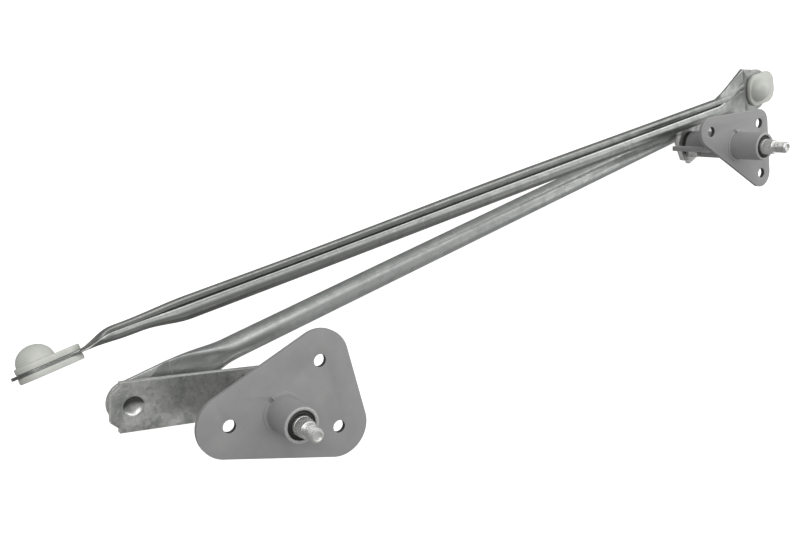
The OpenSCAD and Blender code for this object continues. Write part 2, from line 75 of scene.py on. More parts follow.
# Angle, in degrees, past which an edge of a rod is shaded sharp.
ROD_SHARP = 40.0
LOG = logging.getLogger("wiper_linkage")

Point = tuple[float, float, float]
Span = tuple[float, float]
Colour = tuple[float, float, float, float]
Profile = list[tuple[float, float]]
Ring = list[Vector]
UNIT: Span = (0.0, 1.0)


class Slot(Enum):
    """The record's material slots."""

    PAINT = "bracket_paint"
    ZINC = "zinc_steel"
    STEEL = "spindle_steel"
    RUBBER = "seal_rubber"
    POLYMER = "black_polymer"
    BRONZE = "bush_bronze"
    NYLON = "socket_nylon"


class Side(Enum):
    """The two bearings of the linkage."""

    LEFT = "left"
    RIGHT = "right"


AXIS_X = {Side.LEFT: 0.0, Side.RIGHT: 490.0}
TIE_BALL = {Side.LEFT: (-76.7701, 32.587), Side.RIGHT: (573.1226, 6.9627)}
HOLES: dict[Side, Profile] = {
    Side.LEFT: [(-36.0, 11.0), (33.5, -31.5), (37.0, 20.0)],
    Side.RIGHT: [(458.378, 24.83), (518.007, -38.365), (525.054, 8.628)],
}


class NodeGraph:
    """Adds and links the nodes of one node tree."""

    def __init__(self, tree: bpy.types.NodeTree) -> None:
        """Keep the tree that the nodes go into.

        Args:
            tree: The node tree to fill.
        """
        self.tree = tree

    def add(self, kind: str, inputs: dict[Any, Any] | None = None, **settings: Any) -> bpy.types.Node:
        """Add one node.

        Args:
            kind: The node's type name.
            inputs: Values or sockets for its inputs, by name or by number.
            settings: Properties of the node itself.

        Returns:
            The new node.
        """
        node = self.tree.nodes.new(kind)
        for name, value in settings.items():
            setattr(node, name, value)
        for key, value in (inputs or {}).items():
            self.feed(node.inputs[key], value)
        return node

    def feed(self, target: bpy.types.NodeSocket, value: Any) -> None:
        """Link a socket to an input, or set the input's own value.

        Args:
            target: The input socket.
            value: Another socket, or a plain value.
        """
        if isinstance(value, bpy.types.NodeSocket):
            self.tree.links.new(value, target)
        else:
            target.default_value = value

    def math(self, operation: str, *values: Any, clamp: bool = False) -> bpy.types.NodeSocket:
        """Add a Math node.

        Args:
            operation: The operation's name.
            values: Its inputs, in order.
            clamp: Whether the result stays between 0 and 1.

        Returns:
            The result socket.
        """
        node = self.add("ShaderNodeMath", dict(enumerate(values)), operation=operation, use_clamp=clamp)
        return node.outputs[0]

    def spread(self, value: Any, source: Span, target: Span = UNIT) -> bpy.types.NodeSocket:
        """Map a range of values to another one, with clamped ends.

        Args:
            value: The socket to map.
            source: Ends of the range that is read.
            target: The results at its ends.

        Returns:
            The mapped socket.
        """
        names = ("Value", "From Min", "From Max", "To Min", "To Max")
        node = self.add("ShaderNodeMapRange", dict(zip(names, (value, *source, *target))))
        return node.outputs["Result"]

    def blend(self, share: Any, first: Any, second: Any) -> bpy.types.NodeSocket:
        """Mix two colours.

        Args:
            share: How much of the second colour shows.
            first: The first colour.
            second: The second colour.

        Returns:
            The mixed colour.
        """
        node = self.add("ShaderNodeMix", data_type="RGBA")
        for index, value in ((0, share), (6, first), (7, second)):
            self.feed(node.inputs[index], value)
        return node.outputs[2]

    def noise(self, where: Any, scale: Any, detail: float, rough: float = 0.5) -> bpy.types.Node:
        """Add a Noise Texture node.

        Args:
            where: The coordinates.
            scale: How fine the noise is.
            detail: How many finer layers it has.
            rough: How strong these are.

        Returns:
            The new node.
        """
        inputs = {"Vector": where, "Scale": scale, "Detail": detail, "Roughness": rough}
        return self.add("ShaderNodeTexNoise", inputs)

    def layer(self, name: str) -> bpy.types.NodeSocket:
        """The value that a layer of the mesh holds."""
        return self.add("ShaderNodeAttribute", attribute_name=name).outputs["Fac"]


def new_group(name: str, inputs: dict[str, float], outputs: Sequence[str]) -> tuple[NodeGraph, Any]:
    """Start a shader node group that reads coordinates.

    Args:
        name: The group's name.
        inputs: First value of each number that it takes besides the coordinates.
        outputs: Names of the values that it gives.

    Returns:
        The group's graph and its input sockets.
    """
    tree = bpy.data.node_groups.new(name, "ShaderNodeTree")
    tree.interface.new_socket("Vector", in_out="INPUT", socket_type="NodeSocketVector")
    for label, value in inputs.items():
        socket = tree.interface.new_socket(label, in_out="INPUT", socket_type="NodeSocketFloat")
        socket.default_value = value
    for label in outputs:
        tree.interface.new_socket(label, in_out="OUTPUT", socket_type="NodeSocketFloat")
    graph = NodeGraph(tree)
    return graph, graph.add("NodeGroupInput").outputs


@cache
def spangle_group() -> bpy.types.NodeTree:
    """Build the crystal mottling of a zinc coat.

    Returns:
        A group that gives a shade for each crystal and a cloudy film over them.
    """
    g, given = new_group("zinc_spangle", {"Scale": 150.0}, ("Crystal", "Cloud"))
    warp_scale, warp_reach, cloud_share = 260.0, 0.004, 0.16
    middle = (0.5, 0.5, 0.5)
    warp = g.noise(given["Vector"], warp_scale, detail=3.0)
    shift = g.add("ShaderNodeVectorMath", {0: warp.outputs["Color"], 1: middle}, operation="SUBTRACT")
    small = g.add("ShaderNodeVectorMath", {0: shift.outputs[0], "Scale": warp_reach}, operation="SCALE")
    moved = g.add("ShaderNodeVectorMath", {0: given["Vector"], 1: small.outputs[0]}, operation="ADD")
    cells = g.add("ShaderNodeTexVoronoi", {"Vector": moved.outputs[0], "Scale": given["Scale"]})
    tone = g.add("ShaderNodeSeparateColor", {"Color": cells.outputs["Color"]})
    cloud_scale = g.math("MULTIPLY", given["Scale"], cloud_share)
    cloud = g.noise(given["Vector"], cloud_scale, detail=5.0, rough=0.62)
    film = g.spread(cloud.outputs["Fac"], (0.32, 0.68))
    g.add("NodeGroupOutput", {"Crystal": tone.outputs[0], "Cloud": film})
    return g.tree


@cache
def grain_group() -> bpy.types.NodeTree:
    """Build the fine grain of a surface.

    Returns:
        A group that gives a height for bump and a coarser tone for colour and roughness.
    """
    g, given = new_group("surface_grain", {"Scale": 1500.0}, ("Height", "Tone"))
    tone_share = 0.04
    fine = g.noise(given["Vector"], given["Scale"], detail=4.0)
    tone_scale = g.math("MULTIPLY", given["Scale"], tone_share)
    soft = g.noise(given["Vector"], tone_scale, detail=6.0, rough=0.6)
    tone = g.spread(soft.outputs["Fac"], (0.3, 0.7))
    g.add("NodeGroupOutput", {"Height": fine.outputs["Fac"], "Tone": tone})
    return g.tree


@cache
def streak_group() -> bpy.types.NodeTree:
    """Build fine lines along local X, as drawing or rolling leaves them.

    Returns:
        A group that gives the lines' tone.
    """
    g, given = new_group("drawn_streaks", {}, ("Streak",))
    stretch = (9.0, 900.0, 900.0)
    thin = g.add("ShaderNodeVectorMath", {0: given["Vector"], 1: stretch}, operation="MULTIPLY")
    lines = g.noise(thin.outputs[0], scale=1.0, detail=5.0, rough=0.65)
    g.add("NodeGroupOutput", {"Streak": g.spread(lines.outputs["Fac"], (0.3, 0.7))})
    return g.tree


@cache
def wear_and_highlight_group() -> bpy.types.NodeTree:
    """Build the mask of edge wear and painted highlight: the marked edge faces, broken up by noise.

    Returns:
        A group that gives the mask, part wear and part painted highlight.
    """
    g, given = new_group("edge_wear_and_highlight", {"Edge": 0.0}, ("Mask",))
    rub_and_highlight = g.noise(given["Vector"], scale=420.0, detail=5.0, rough=0.7)
    broken = g.spread(rub_and_highlight.outputs["Fac"], (0.34, 0.62), (0.45, 1.0))
    g.add("NodeGroupOutput", {"Mask": g.math("MULTIPLY", given["Edge"], broken, clamp=True)})
    return g.tree


def rgba(red: float, green: float, blue: float) -> Colour:
    """An opaque linear colour."""
    return (red, green, blue, 1.0)


def grey(value: float) -> Colour:
    """An opaque neutral colour."""
    return rgba(value, value, value)


def tinted(tint: Point, factors: Point) -> Colour:
    """A colour made lighter or darker, channel by channel."""
    return rgba(*(value * factor for value, factor in zip(tint, factors)))


@dataclass
class MaterialDraft:
    """A new material with its shader, its coordinates and its mask of edge wear and painted highlight."""

    name: str
    material: bpy.types.Material = field(init=False)
    graph: NodeGraph = field(init=False)
    shader: bpy.types.Node = field(init=False)
    where: bpy.types.NodeSocket = field(init=False)
    wear_and_highlight: bpy.types.NodeSocket = field(init=False)

    def __post_init__(self) -> None:
        """Make the empty material and its common nodes."""
        self.material = bpy.data.materials.new(self.name)
        self.material.use_nodes = True
        tree = self.material.node_tree
        tree.nodes.clear()
        self.graph = NodeGraph(tree)
        self.shader = self.graph.add("ShaderNodeBsdfPrincipled")
        self.graph.add("ShaderNodeOutputMaterial", {"Surface": self.shader.outputs[0]})
        self.where = self.graph.add("ShaderNodeTexCoord").outputs["Object"]
        edge = self.graph.layer(EDGE_LAYER)
        self.wear_and_highlight = self.group(wear_and_highlight_group(), {"Edge": edge}).outputs["Mask"]

    def group(self, tree: bpy.types.NodeTree, inputs: dict[str, Any]) -> bpy.types.Node:
        """Place a shader group on the piece's own coordinates.

        Args:
            tree: The group's node tree.
            inputs: Values or sockets for its inputs; a Vector given here replaces the plain coordinates.

        Returns:
            The group node.
        """
        node = self.graph.add("ShaderNodeGroup", node_tree=tree)
        for key, value in {"Vector": self.where, **inputs}.items():
            self.graph.feed(node.inputs[key], value)
        return node

    def turned(self, degrees: float) -> bpy.types.NodeSocket:
        """Object coordinates turned about Z, so that local X runs along a rod.

        Args:
            degrees: Direction of the rod.

        Returns:
            The turned coordinates.
        """
        turn = (0.0, 0.0, -math.radians(degrees))
        return self.graph.add("ShaderNodeMapping", {"Vector": self.where, "Rotation": turn}).outputs[0]

    def set(self, **values: Any) -> None:
        """Set or link inputs of the shader, with underscores for the spaces in their names."""
        for key, value in values.items():
            self.graph.feed(self.shader.inputs[key.replace("_", " ")], value)

    def bump(self, height: bpy.types.NodeSocket, strength: float, distance: float) -> None:
        """Give the surface a fine relief.

        Args:
            height: The height to read.
            strength: How strongly it shows.
            distance: Depth of the relief, in metres.
        """
        inputs = {"Strength": strength, "Distance": distance, "Height": height}
        self.set(Normal=self.graph.add("ShaderNodeBump", inputs).outputs[0])


@dataclass(frozen=True)
class PaintFinish:
    """Satin grey paint of the bearing plates and tubes."""

    name: str = "bracket_paint_grey"
    shade: float = 0.33
    dark: Point = (0.93, 0.94, 0.94)
    light: Point = (1.07, 1.07, 1.06)
    # Lighter edge colour: part wear, part painted highlight along the rounded edges.
    wear_highlight: Point = (1.75, 1.75, 1.72)
    edge_gain: float = 0.9
    # Near-black colour painted as shade on the plates' hole walls.
    hole_shade: float = 0.03
    hole_shade_share: Span = (0.75, 1.0)
    rough: Span = (0.44, 0.58)
    sheen: float = 0.4
    grain: float = 1300.0
    relief: Span = (0.25, 0.00006)

    def build(self) -> bpy.types.Material:
        """Build the paint, with a fine orange peel, faint clouds, lighter edges that are part wear and part
        painted highlight, and painted shade on the hole walls.

        Returns:
            The material.
        """
        draft = MaterialDraft(self.name)
        g = draft.graph
        grain = draft.group(grain_group(), {"Scale": self.grain})
        tone = grain.outputs["Tone"]
        plain = (self.shade, self.shade, self.shade)
        base = g.blend(tone, tinted(plain, self.dark), tinted(plain, self.light))
        edged = g.blend(g.math("MULTIPLY", draft.wear_and_highlight, self.edge_gain), base, tinted(plain, self.wear_highlight))
        # Painted shade: where the shade layer is set, the paint goes near black.
        hole_shaded = g.math("MULTIPLY", g.layer(SHADE_LAYER), g.spread(tone, UNIT, self.hole_shade_share))
        draft.set(
            Base_Color=g.blend(hole_shaded, edged, grey(self.hole_shade)),
            Roughness=g.spread(tone, UNIT, self.rough),
            Specular_IOR_Level=self.sheen,
        )
        draft.bump(grain.outputs["Height"], *self.relief)
        return draft.material


@dataclass(frozen=True)
class ZincFinish:
    """Zinc-plated sheet or tube, mottled like a galvanised surface and streaked as it was rolled."""

    name: str
    tint: Point
    along: float
    rough: Span = (0.52, 0.34)
    metal: float = 0.9
    spangle: float = 190.0
    cloud: float = 0.45
    crystal: float = 0.35
    streak: float = 0.5
    streak_tone: float = 0.4
    depth: float = 0.62
    cool: float = 0.02
    light: Point = (1.12, 1.12, 1.11)
    wear_highlight: Point = (1.75, 1.74, 1.74)
    edge_gain: float = 0.6
    # Near-black colour painted as shade on the upper wall of a lever's dimple.
    shade_paint: Point = (0.06, 0.06, 0.058)
    shade_paint_share: float = 0.9
    grain: float = 2400.0
    grain_height: float = 0.4
    relief: Span = (0.22, 0.00005)

    def build(self) -> bpy.types.Material:
        """Build the coat from crystals, a cloudy film and streaks, with bright edges that are part wear and
        part painted highlight, and painted shade where the shade layer is set.

        Returns:
            The material.
        """
        draft = MaterialDraft(self.name)
        g = draft.graph
        coat = draft.group(spangle_group(), {"Scale": self.spangle})
        lines = draft.group(streak_group(), {"Vector": draft.turned(self.along)}).outputs["Streak"]
        grain = draft.group(grain_group(), {"Scale": self.grain})
        cloud = g.math("MULTIPLY", coat.outputs["Cloud"], self.cloud)
        mottle = g.math("MULTIPLY_ADD", coat.outputs["Crystal"], self.crystal, cloud)
        tone = g.math("MULTIPLY_ADD", lines, self.streak_tone * self.streak, mottle, clamp=True)
        dark = (self.depth, self.depth + self.cool, self.depth + self.cool)
        base = g.blend(tone, tinted(self.tint, dark), tinted(self.tint, self.light))
        bare = g.math("MULTIPLY", draft.wear_and_highlight, self.edge_gain)
        edged = g.blend(bare, base, tinted(self.tint, self.wear_highlight))
        # Painted shade: where the shade layer is set, the zinc goes near black.
        shade_painted = g.math("MULTIPLY", g.layer(SHADE_LAYER), self.shade_paint_share)
        draft.set(
            Base_Color=g.blend(shade_painted, edged, rgba(*self.shade_paint)),
            Roughness=g.spread(tone, UNIT, self.rough),
            Metallic=self.metal,
        )
        fine = g.math("MULTIPLY", grain.outputs["Height"], self.grain_height)
        draft.bump(g.math("MULTIPLY_ADD", lines, self.streak, fine), *self.relief)
        return draft.material


@dataclass(frozen=True)
class SteelFinish:
    """Bright turned steel with fine rings from the lathe."""

    name: str = "spindle_steel_turned"
    low: Point = (0.7, 0.7, 0.685)
    high: Point = (0.84, 0.838, 0.82)
    wear_highlight: Point = (0.92, 0.92, 0.9)
    edge_gain: float = 0.6
    rough: Span = (0.33, 0.5)
    grain: float = 1800.0
    rings: float = 21000.0
    ring_height: float = 0.25
    relief: Span = (0.15, 0.00004)

    def build(self) -> bpy.types.Material:
        """Build the steel, its rings running round the spindle axis.

        Returns:
            The material.
        """
        draft = MaterialDraft(self.name)
        g = draft.graph
        grain = draft.group(grain_group(), {"Scale": self.grain})
        height = g.add("ShaderNodeSeparateXYZ", {0: draft.where}).outputs["Z"]
        rings = g.math("SINE", g.math("MULTIPLY", height, self.rings))
        base = g.blend(grain.outputs["Tone"], rgba(*self.low), rgba(*self.high))
        bare = g.math("MULTIPLY", draft.wear_and_highlight, self.edge_gain)
        draft.set(
            Base_Color=g.blend(bare, base, rgba(*self.wear_highlight)),
            Roughness=g.spread(grain.outputs["Tone"], UNIT, self.rough),
            Metallic=1.0,
        )
        draft.bump(g.math("MULTIPLY_ADD", rings, self.ring_height, grain.outputs["Height"]), *self.relief)
        return draft.material


@dataclass(frozen=True)
class BronzeFinish:
    """Sintered bronze of the bearing bushes, with open pores."""

    name: str = "bush_bronze_sintered"
    low: Point = (0.3, 0.2, 0.1)
    high: Point = (0.52, 0.37, 0.19)
    pores: Span = (0.3, 0.7)
    rough: Span = (0.3, 0.55)
    metal: float = 0.9
    grain: float = 2600.0
    relief: Span = (0.4, 0.00006)

    def build(self) -> bpy.types.Material:
        """Build the bronze, darker where its pores hold oil.

        Returns:
            The material.
        """
        draft = MaterialDraft(self.name)
        g = draft.graph
        grain = draft.group(grain_group(), {"Scale": self.grain})
        draft.set(
            Base_Color=g.blend(grain.outputs["Tone"], rgba(*self.low), rgba(*self.high)),
            Roughness=g.spread(grain.outputs["Height"], self.pores, self.rough),
            Metallic=self.metal,
        )
        draft.bump(grain.outputs["Height"], *self.relief)
        return draft.material


@dataclass(frozen=True)
class PolymerFinish:
    """Moulded plastic or rubber, with a fine moulded skin."""

    name: str
    low: Point
    high: Point
    rough: Span
    glow: float = 0.0
    glow_depth: Point = (0.003, 0.003, 0.0026)
    grain: float = 1100.0
    relief: Span = (0.2, 0.00005)

    def build(self) -> bpy.types.Material:
        """Build the moulding, with clouds in its colour and a soft bump.

        Returns:
            The material.
        """
        draft = MaterialDraft(self.name)
        g = draft.graph
        grain = draft.group(grain_group(), {"Scale": self.grain})
        draft.set(
            Base_Color=g.blend(grain.outputs["Tone"], rgba(*self.low), rgba(*self.high)),
            Roughness=g.spread(grain.outputs["Tone"], UNIT, self.rough),
        )
        if self.glow:
            draft.set(Subsurface_Weight=self.glow, Subsurface_Radius=self.glow_depth, Subsurface_Scale=1.0)
        draft.bump(grain.outputs["Height"], *self.relief)
        return draft.material


LEVER_ZINC = ZincFinish(
    "lever_zinc_plate",
    (0.6, 0.605, 0.59),
    along=0.0,
    spangle=380.0,
    cloud=0.75,
    crystal=0.4,
    streak=0.2,
    depth=0.4,
    edge_gain=0.95,
)
TIE_ZINC = ZincFinish(
    "tie_tube_zinc",
    (0.61, 0.625, 0.61),
    along=-2.26,
    rough=(0.48, 0.3),
    cloud=0.2,
    streak=0.9,
)
DRIVE_ZINC = ZincFinish(
    "drive_rod_zinc",
    (0.33, 0.337, 0.325),
    along=-6.2,
    rough=(0.43, 0.25),
    cloud=0.15,
    streak=0.9,
    edge_gain=1.0,
)
NUT_ZINC = ZincFinish("weld_nut_zinc", (0.6, 0.6, 0.58), along=0.0, streak=0.1)
SEAL_RUBBER = PolymerFinish("seal_rubber_black", (0.012, 0.012, 0.012), (0.022, 0.022, 0.022), (0.49, 0.63))
WASHER_BLACK = PolymerFinish("washer_polymer_black", (0.016, 0.016, 0.017), (0.03, 0.03, 0.031), (0.36, 0.5))
SOCKET_NYLON = PolymerFinish(
    "socket_nylon_white", (0.56, 0.573, 0.53), (0.64, 0.65, 0.606), (0.34, 0.48), glow=0.2
)


@dataclass(frozen=True)
class Coat:
    """A built finish and the record's slot that it belongs to."""

    slot: Slot
    material: bpy.types.Material


@dataclass
class Finishes:
    """Every finish of the linkage, built once."""

    paint: Coat = field(init=False)
    lever_zinc: Coat = field(init=False)
    tie_zinc: Coat = field(init=False)
    drive_zinc: Coat = field(init=False)
    nut_zinc: Coat = field(init=False)
    steel: Coat = field(init=False)
    bronze: Coat = field(init=False)
    rubber: Coat = field(init=False)
    polymer: Coat = field(init=False)
    nylon: Coat = field(init=False)

    def __post_init__(self) -> None:
        """Build the materials."""
        self.paint = Coat(Slot.PAINT, PaintFinish().build())
        self.lever_zinc = Coat(Slot.ZINC, LEVER_ZINC.build())
        self.tie_zinc = Coat(Slot.ZINC, TIE_ZINC.build())
        self.drive_zinc = Coat(Slot.ZINC, DRIVE_ZINC.build())
        self.nut_zinc = Coat(Slot.ZINC, NUT_ZINC.build())
        self.steel = Coat(Slot.STEEL, SteelFinish().build())
        self.bronze = Coat(Slot.BRONZE, BronzeFinish().build())
        self.rubber = Coat(Slot.RUBBER, SEAL_RUBBER.build())
        self.polymer = Coat(Slot.POLYMER, WASHER_BLACK.build())
        self.nylon = Coat(Slot.NYLON, SOCKET_NYLON.build())


def cad_copy(node: str) -> bmesh.types.BMesh:
    """Copy a CAD node's triangles, merged into one closed shell with its flat faces whole.

    Args:
        node: The CAD node's name.

    Returns:
        A new bmesh, which the caller frees.
    """
    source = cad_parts[node].data
    bm = bmesh.new()
    corners = [bm.verts.new(v.co) for v in source.vertices]
    for polygon in source.polygons:
        bm.faces.new([corners[i] for i in polygon.vertices])
    bmesh.ops.remove_doubles(bm, verts=bm.verts, dist=MERGE)
    bmesh.ops.dissolve_degenerate(bm, edges=bm.edges, dist=MERGE)
    bmesh.ops.dissolve_limit(bm, angle_limit=math.radians(FLAT_DEGREES), verts=bm.verts, edges=bm.edges)
    return bm


def round_edges(bm: bmesh.types.BMesh, radius: float, sharp: float = 32.0, segments: int = 2) -> None:
    """Round a shell's sharp edges and mark the new faces for edge wear and painted highlight.

    Args:
        bm: The shell, changed in place.
        radius: Rounding, in millimetres.
        sharp: Smallest angle between two faces that counts as an edge, in degrees.
        segments: Faces across the rounding.
    """
    layer = bm.faces.layers.float.new(EDGE_LAYER)
    limit = math.radians(sharp)
    edges = [e for e in bm.edges if e.is_manifold and e.calc_face_angle(0.0) > limit]
    made = bmesh.ops.bevel(bm, geom=edges, offset=radius * MM, offset_type="OFFSET", segments=segments,
                           profile=0.6, affect="EDGES", clamp_overlap=True)
    for face in made["faces"]:
        face[layer] = 1.0


def finish_mesh(bm: bmesh.types.BMesh, name: str, sharp: float = 35.0) -> bpy.types.Mesh:
    """Turn a bmesh into a smooth-shaded mesh and free it.

    Args:
        bm: The shell.
        name: The mesh's name.
        sharp: Angle past which an edge is shaded sharp, in degrees.

    Returns:
        The new mesh.
    """
    mesh = bpy.data.meshes.new(name)
    bm.to_mesh(mesh)
    bm.free()
    mesh.shade_smooth()
    mesh.set_sharp_from_angle(angle=math.radians(sharp))
    return mesh


def place(mesh: bpy.types.Mesh, name: str, body: str, coat: Coat, nodes: Sequence[str]) -> bpy.types.Object:
    """Make a piece of a mesh, dress it, and let it ride on its body in place of CAD nodes.

    Args:
        mesh: The piece's mesh, in the shared frame.
        name: The piece's name.
        body: The CAD body that it rides on.
        coat: The finish.
        nodes: The CAD nodes that it stands for.

    Returns:
        The new object.
    """
    piece = bpy.data.objects.new(name, mesh)
    bpy.context.scene.collection.objects.link(piece)
    mesh.materials.clear()
    mesh.materials.append(coat.material)
    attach(piece, body)
    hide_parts(*nodes)
    LOG.info("piece %s on %s: %d faces", name, body, len(mesh.polygons))
    return piece


def dress_node(node: str, coat: Coat) -> None:
    """Give a CAD node that stays in view a better material.

    Args:
        node: The CAD node's name.
        coat: The finish.
    """
    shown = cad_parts[node]
    if shown.data.materials:
        for index in range(len(shown.data.materials)):
            shown.data.materials[index] = coat.material
    else:
        shown.data.materials.append(coat.material)
    LOG.info("node %s dressed with %s", node, coat.material.name)


def softened(
    node: str, name: str, body: str, coat: Coat, radius: float, bright_sides: bool = False
) -> bpy.types.Object:
    """Stand a copy of a CAD node with rounded edges in for the node.

    Args:
        node: The CAD node's name.
        name: The piece's name.
        body: The CAD body that it rides on.
        coat: The finish and its slot.
        radius: Rounding of its edges, in millimetres.
        bright_sides: Whether the upright faces get the full edge mask, as sheared-edge wear and painted
            highlight.

    Returns:
        The new object.
    """
    bm = cad_copy(node)
    round_edges(bm, radius)
    if bright_sides:
        # Upright faces get the full edge mask: part sheared-edge wear, part painted highlight.
        layer = bm.faces.layers.float[EDGE_LAYER]
        bm.normal_update()
        for face in bm.faces:
            face[layer] = max(face[layer], 1.0 if abs(face.normal.z) < SIDE_NORMAL else 0.0)
    return place(finish_mesh(bm, name), name, body, coat, [node])


def ease(value: float, low: float, high: float) -> float:
    """Go smoothly from 0 to 1 while a value runs through a range.

    Args:
        value: The running value.
        low: Where the way starts.
        high: Where it ends.

    Returns:
        The share of the way.
    """
    share = min(1.0, max(0.0, (value - low) / (high - low)))
    return share * share * (3.0 - 2.0 * share)


def mix(first: float, second: float, share: float) -> float:
    """A value part of the way between two others."""
    return first + (second - first) * share


def arc(centre: tuple[float, float], radius: float, start: float, stop: float, count: int) -> Profile:
    """Place points along an arc.

    Args:
        centre: Its centre.
        radius: Its radius.
        start: Its first angle, in degrees.
        stop: Its last angle, in degrees.
        count: How many points it gets.

    Returns:
        The points.
    """
    angles = [math.radians(mix(start, stop, i / (count - 1))) for i in range(count)]
    return [(centre[0] + radius * math.cos(a), centre[1] + radius * math.sin(a)) for a in angles]


def spaced(corners: Profile, count: int) -> Profile:
    """Place points evenly along a broken line.

    Args:
        corners: The line's corners.
        count: How many points it gets.

    Returns:
        The points, the line's two ends among them.
    """
    lengths = [math.dist(p, q) for p, q in zip(corners, corners[1:])]
    points, leg, passed = [], 0, 0.0
    for i in range(count):
        way = sum(lengths) * i / (count - 1)
        while leg < len(lengths) - 1 and way > passed + lengths[leg]:
            passed += lengths[leg]
            leg += 1
        share = (way - passed) / lengths[leg]
        (near_x, near_y), (far_x, far_y) = corners[leg], corners[leg + 1]
        points.append((mix(near_x, far_x, share), mix(near_y, far_y, share)))
    return points


def joined(first: Profile, second: Profile, share: float) -> Profile:
    """A section part of the way between two others with as many points."""
    return [(mix(a[0], b[0], share), mix(a[1], b[1], share)) for a, b in zip(first, second)]


def mirrored(points: Profile) -> Profile:
    """The same points on the other side of the X axis."""
    return [(x, -y) for x, y in points]


def rounded_wall(low: float, top: float, radius: float, inset: float, drop: float) -> Profile:
    """Follow the wall of a plate with rounded edges.

    Args:
        low: Height of the bottom face.
        top: Height of the top face.
        radius: How far the rounding reaches.
        inset: How far the middle of the rounding lies inside the wall.
        drop: How far it lies below the face.

    Returns:
        Inset and height of its points, from the top face to the bottom face.
    """
    upper = [(radius, top), (inset, top - drop), (0.0, top - radius)]
    return upper + [(away, low + top - z) for away, z in reversed(upper)]


@dataclass(frozen=True)
class RodFrame:
    """A rod's own frame: X along the rod from an anchor, Y across it and Z up, in millimetres."""

    x: float
    y: float
    turn: float

    def point(self, x: float, y: float, z: float) -> Vector:
        """A point of the rod in the shared frame, in metres."""
        c, s = math.cos(math.radians(self.turn)), math.sin(math.radians(self.turn))
        return Vector((self.x + c * x - s * y, self.y + s * x + c * y, z)) * MM

    def ring(self, x: float, section: Profile) -> Ring:
        """A section across the rod in the shared frame."""
        return [self.point(x, y, z) for y, z in section]


def skin(bm: bmesh.types.BMesh, rings: Sequence[Ring], wear_and_highlight: Sequence[int] = ()) -> None:
    """Skin a row of rings into a closed shell.

    Args:
        bm: The mesh that takes the shell; its edge layer exists.
        rings: Rings with the same number of points.
        wear_and_highlight: Strips of the skin that get the edge mask of wear and painted highlight, by the
            number of their first point.
    """
    layer = bm.faces.layers.float[EDGE_LAYER]
    rows = [[bm.verts.new(p) for p in ring] for ring in rings]
    count = len(rows[0])
    made = [bm.faces.new(reversed(rows[0])), bm.faces.new(rows[-1])]
    for near, far in zip(rows, rows[1:]):
        for i in range(count):
            j = (i + 1) % count
            face = bm.faces.new((near[i], near[j], far[j], far[i]))
            face[layer] = 1.0 if i in wear_and_highlight else 0.0
            made.append(face)
    bmesh.ops.recalc_face_normals(bm, faces=made)


def eye_plate(
    bm: bmesh.types.BMesh,
    outline: Profile,
    hole: float,
    wall: Profile,
    at: Callable[[float, float, float], Vector],
    wear_and_highlight: float = 1.0,
) -> None:
    """Build a flat plate with a round hole about its own centre.

    Args:
        bm: The mesh that takes the plate; its edge layer exists.
        outline: The plate's outer line, all round the hole.
        hole: The hole's radius.
        wall: Inset and height of the outer wall's points, from the top face to the bottom face.
        at: Puts a point of the plate into the shared frame.
        wear_and_highlight: How strongly the outer wall gets the edge mask of wear and painted highlight.
    """
    layer = bm.faces.layers.float[EDGE_LAYER]
    count = len(outline)
    rows = []
    inner = [(hole * x / math.hypot(x, y), hole * y / math.hypot(x, y)) for x, y in outline]
    for inset, z in wall:
        scale = [1.0 - inset / math.hypot(x, y) for x, y in outline]
        rows.append([bm.verts.new(at(x * k, y * k, z)) for (x, y), k in zip(outline, scale)])
    for z in (wall[-1][1], wall[0][1]):
        rows.append([bm.verts.new(at(x, y, z)) for x, y in inner])
    made = []
    for row, (near, far) in enumerate(zip(rows, rows[1:] + rows[:1])):
        for i in range(count):
            j = (i + 1) % count
            face = bm.faces.new((near[i], near[j], far[j], far[i]))
            face[layer] = wear_and_highlight if row < len(wall) - 1 else 0.0
            made.append(face)
    bmesh.ops.recalc_face_normals(bm, faces=made)


def new_shell() -> bmesh.types.BMesh:
    """Start an empty bmesh with the layer that marks rubbed edges.

    Returns:
        The bmesh, which the caller frees.
    """
    bm = bmesh.new()
    bm.faces.layers.float.new(EDGE_LAYER)
    return bm


def revolved(profile: Profile, x: float, segments: int = 72) -> bmesh.types.BMesh:
    """Turn a profile about an upright axis.

    Args:
        profile: Radius and height of its points, from the lower end on the axis to the upper end on the axis.
        x: Where the axis stands along X, in millimetres.
        segments: Faces round the axis.

    Returns:
        A closed shell in metres, which the caller frees.
    """
    bm = new_shell()
    angles = [2 * math.pi * k / segments for k in range(segments)]
    turns = [(math.cos(angle), math.sin(angle)) for angle in angles]
    rings = [[bm.verts.new(Vector((x + r * c, r * s, z)) * MM) for c, s in turns] for r, z in profile[1:-1]]
    ends = [bm.verts.new(Vector((x, 0.0, z)) * MM) for _, z in (profile[0], profile[-1])]
    for k in range(segments):
        n = (k + 1) % segments
        bm.faces.new((ends[0], rings[0][n], rings[0][k]))
        bm.faces.new((ends[1], rings[-1][k], rings[-1][n]))
        for low, high in zip(rings, rings[1:]):
            bm.faces.new((low[k], low[n], high[n], high[k]))
    bmesh.ops.recalc_face_normals(bm, faces=bm.faces)
    return bm


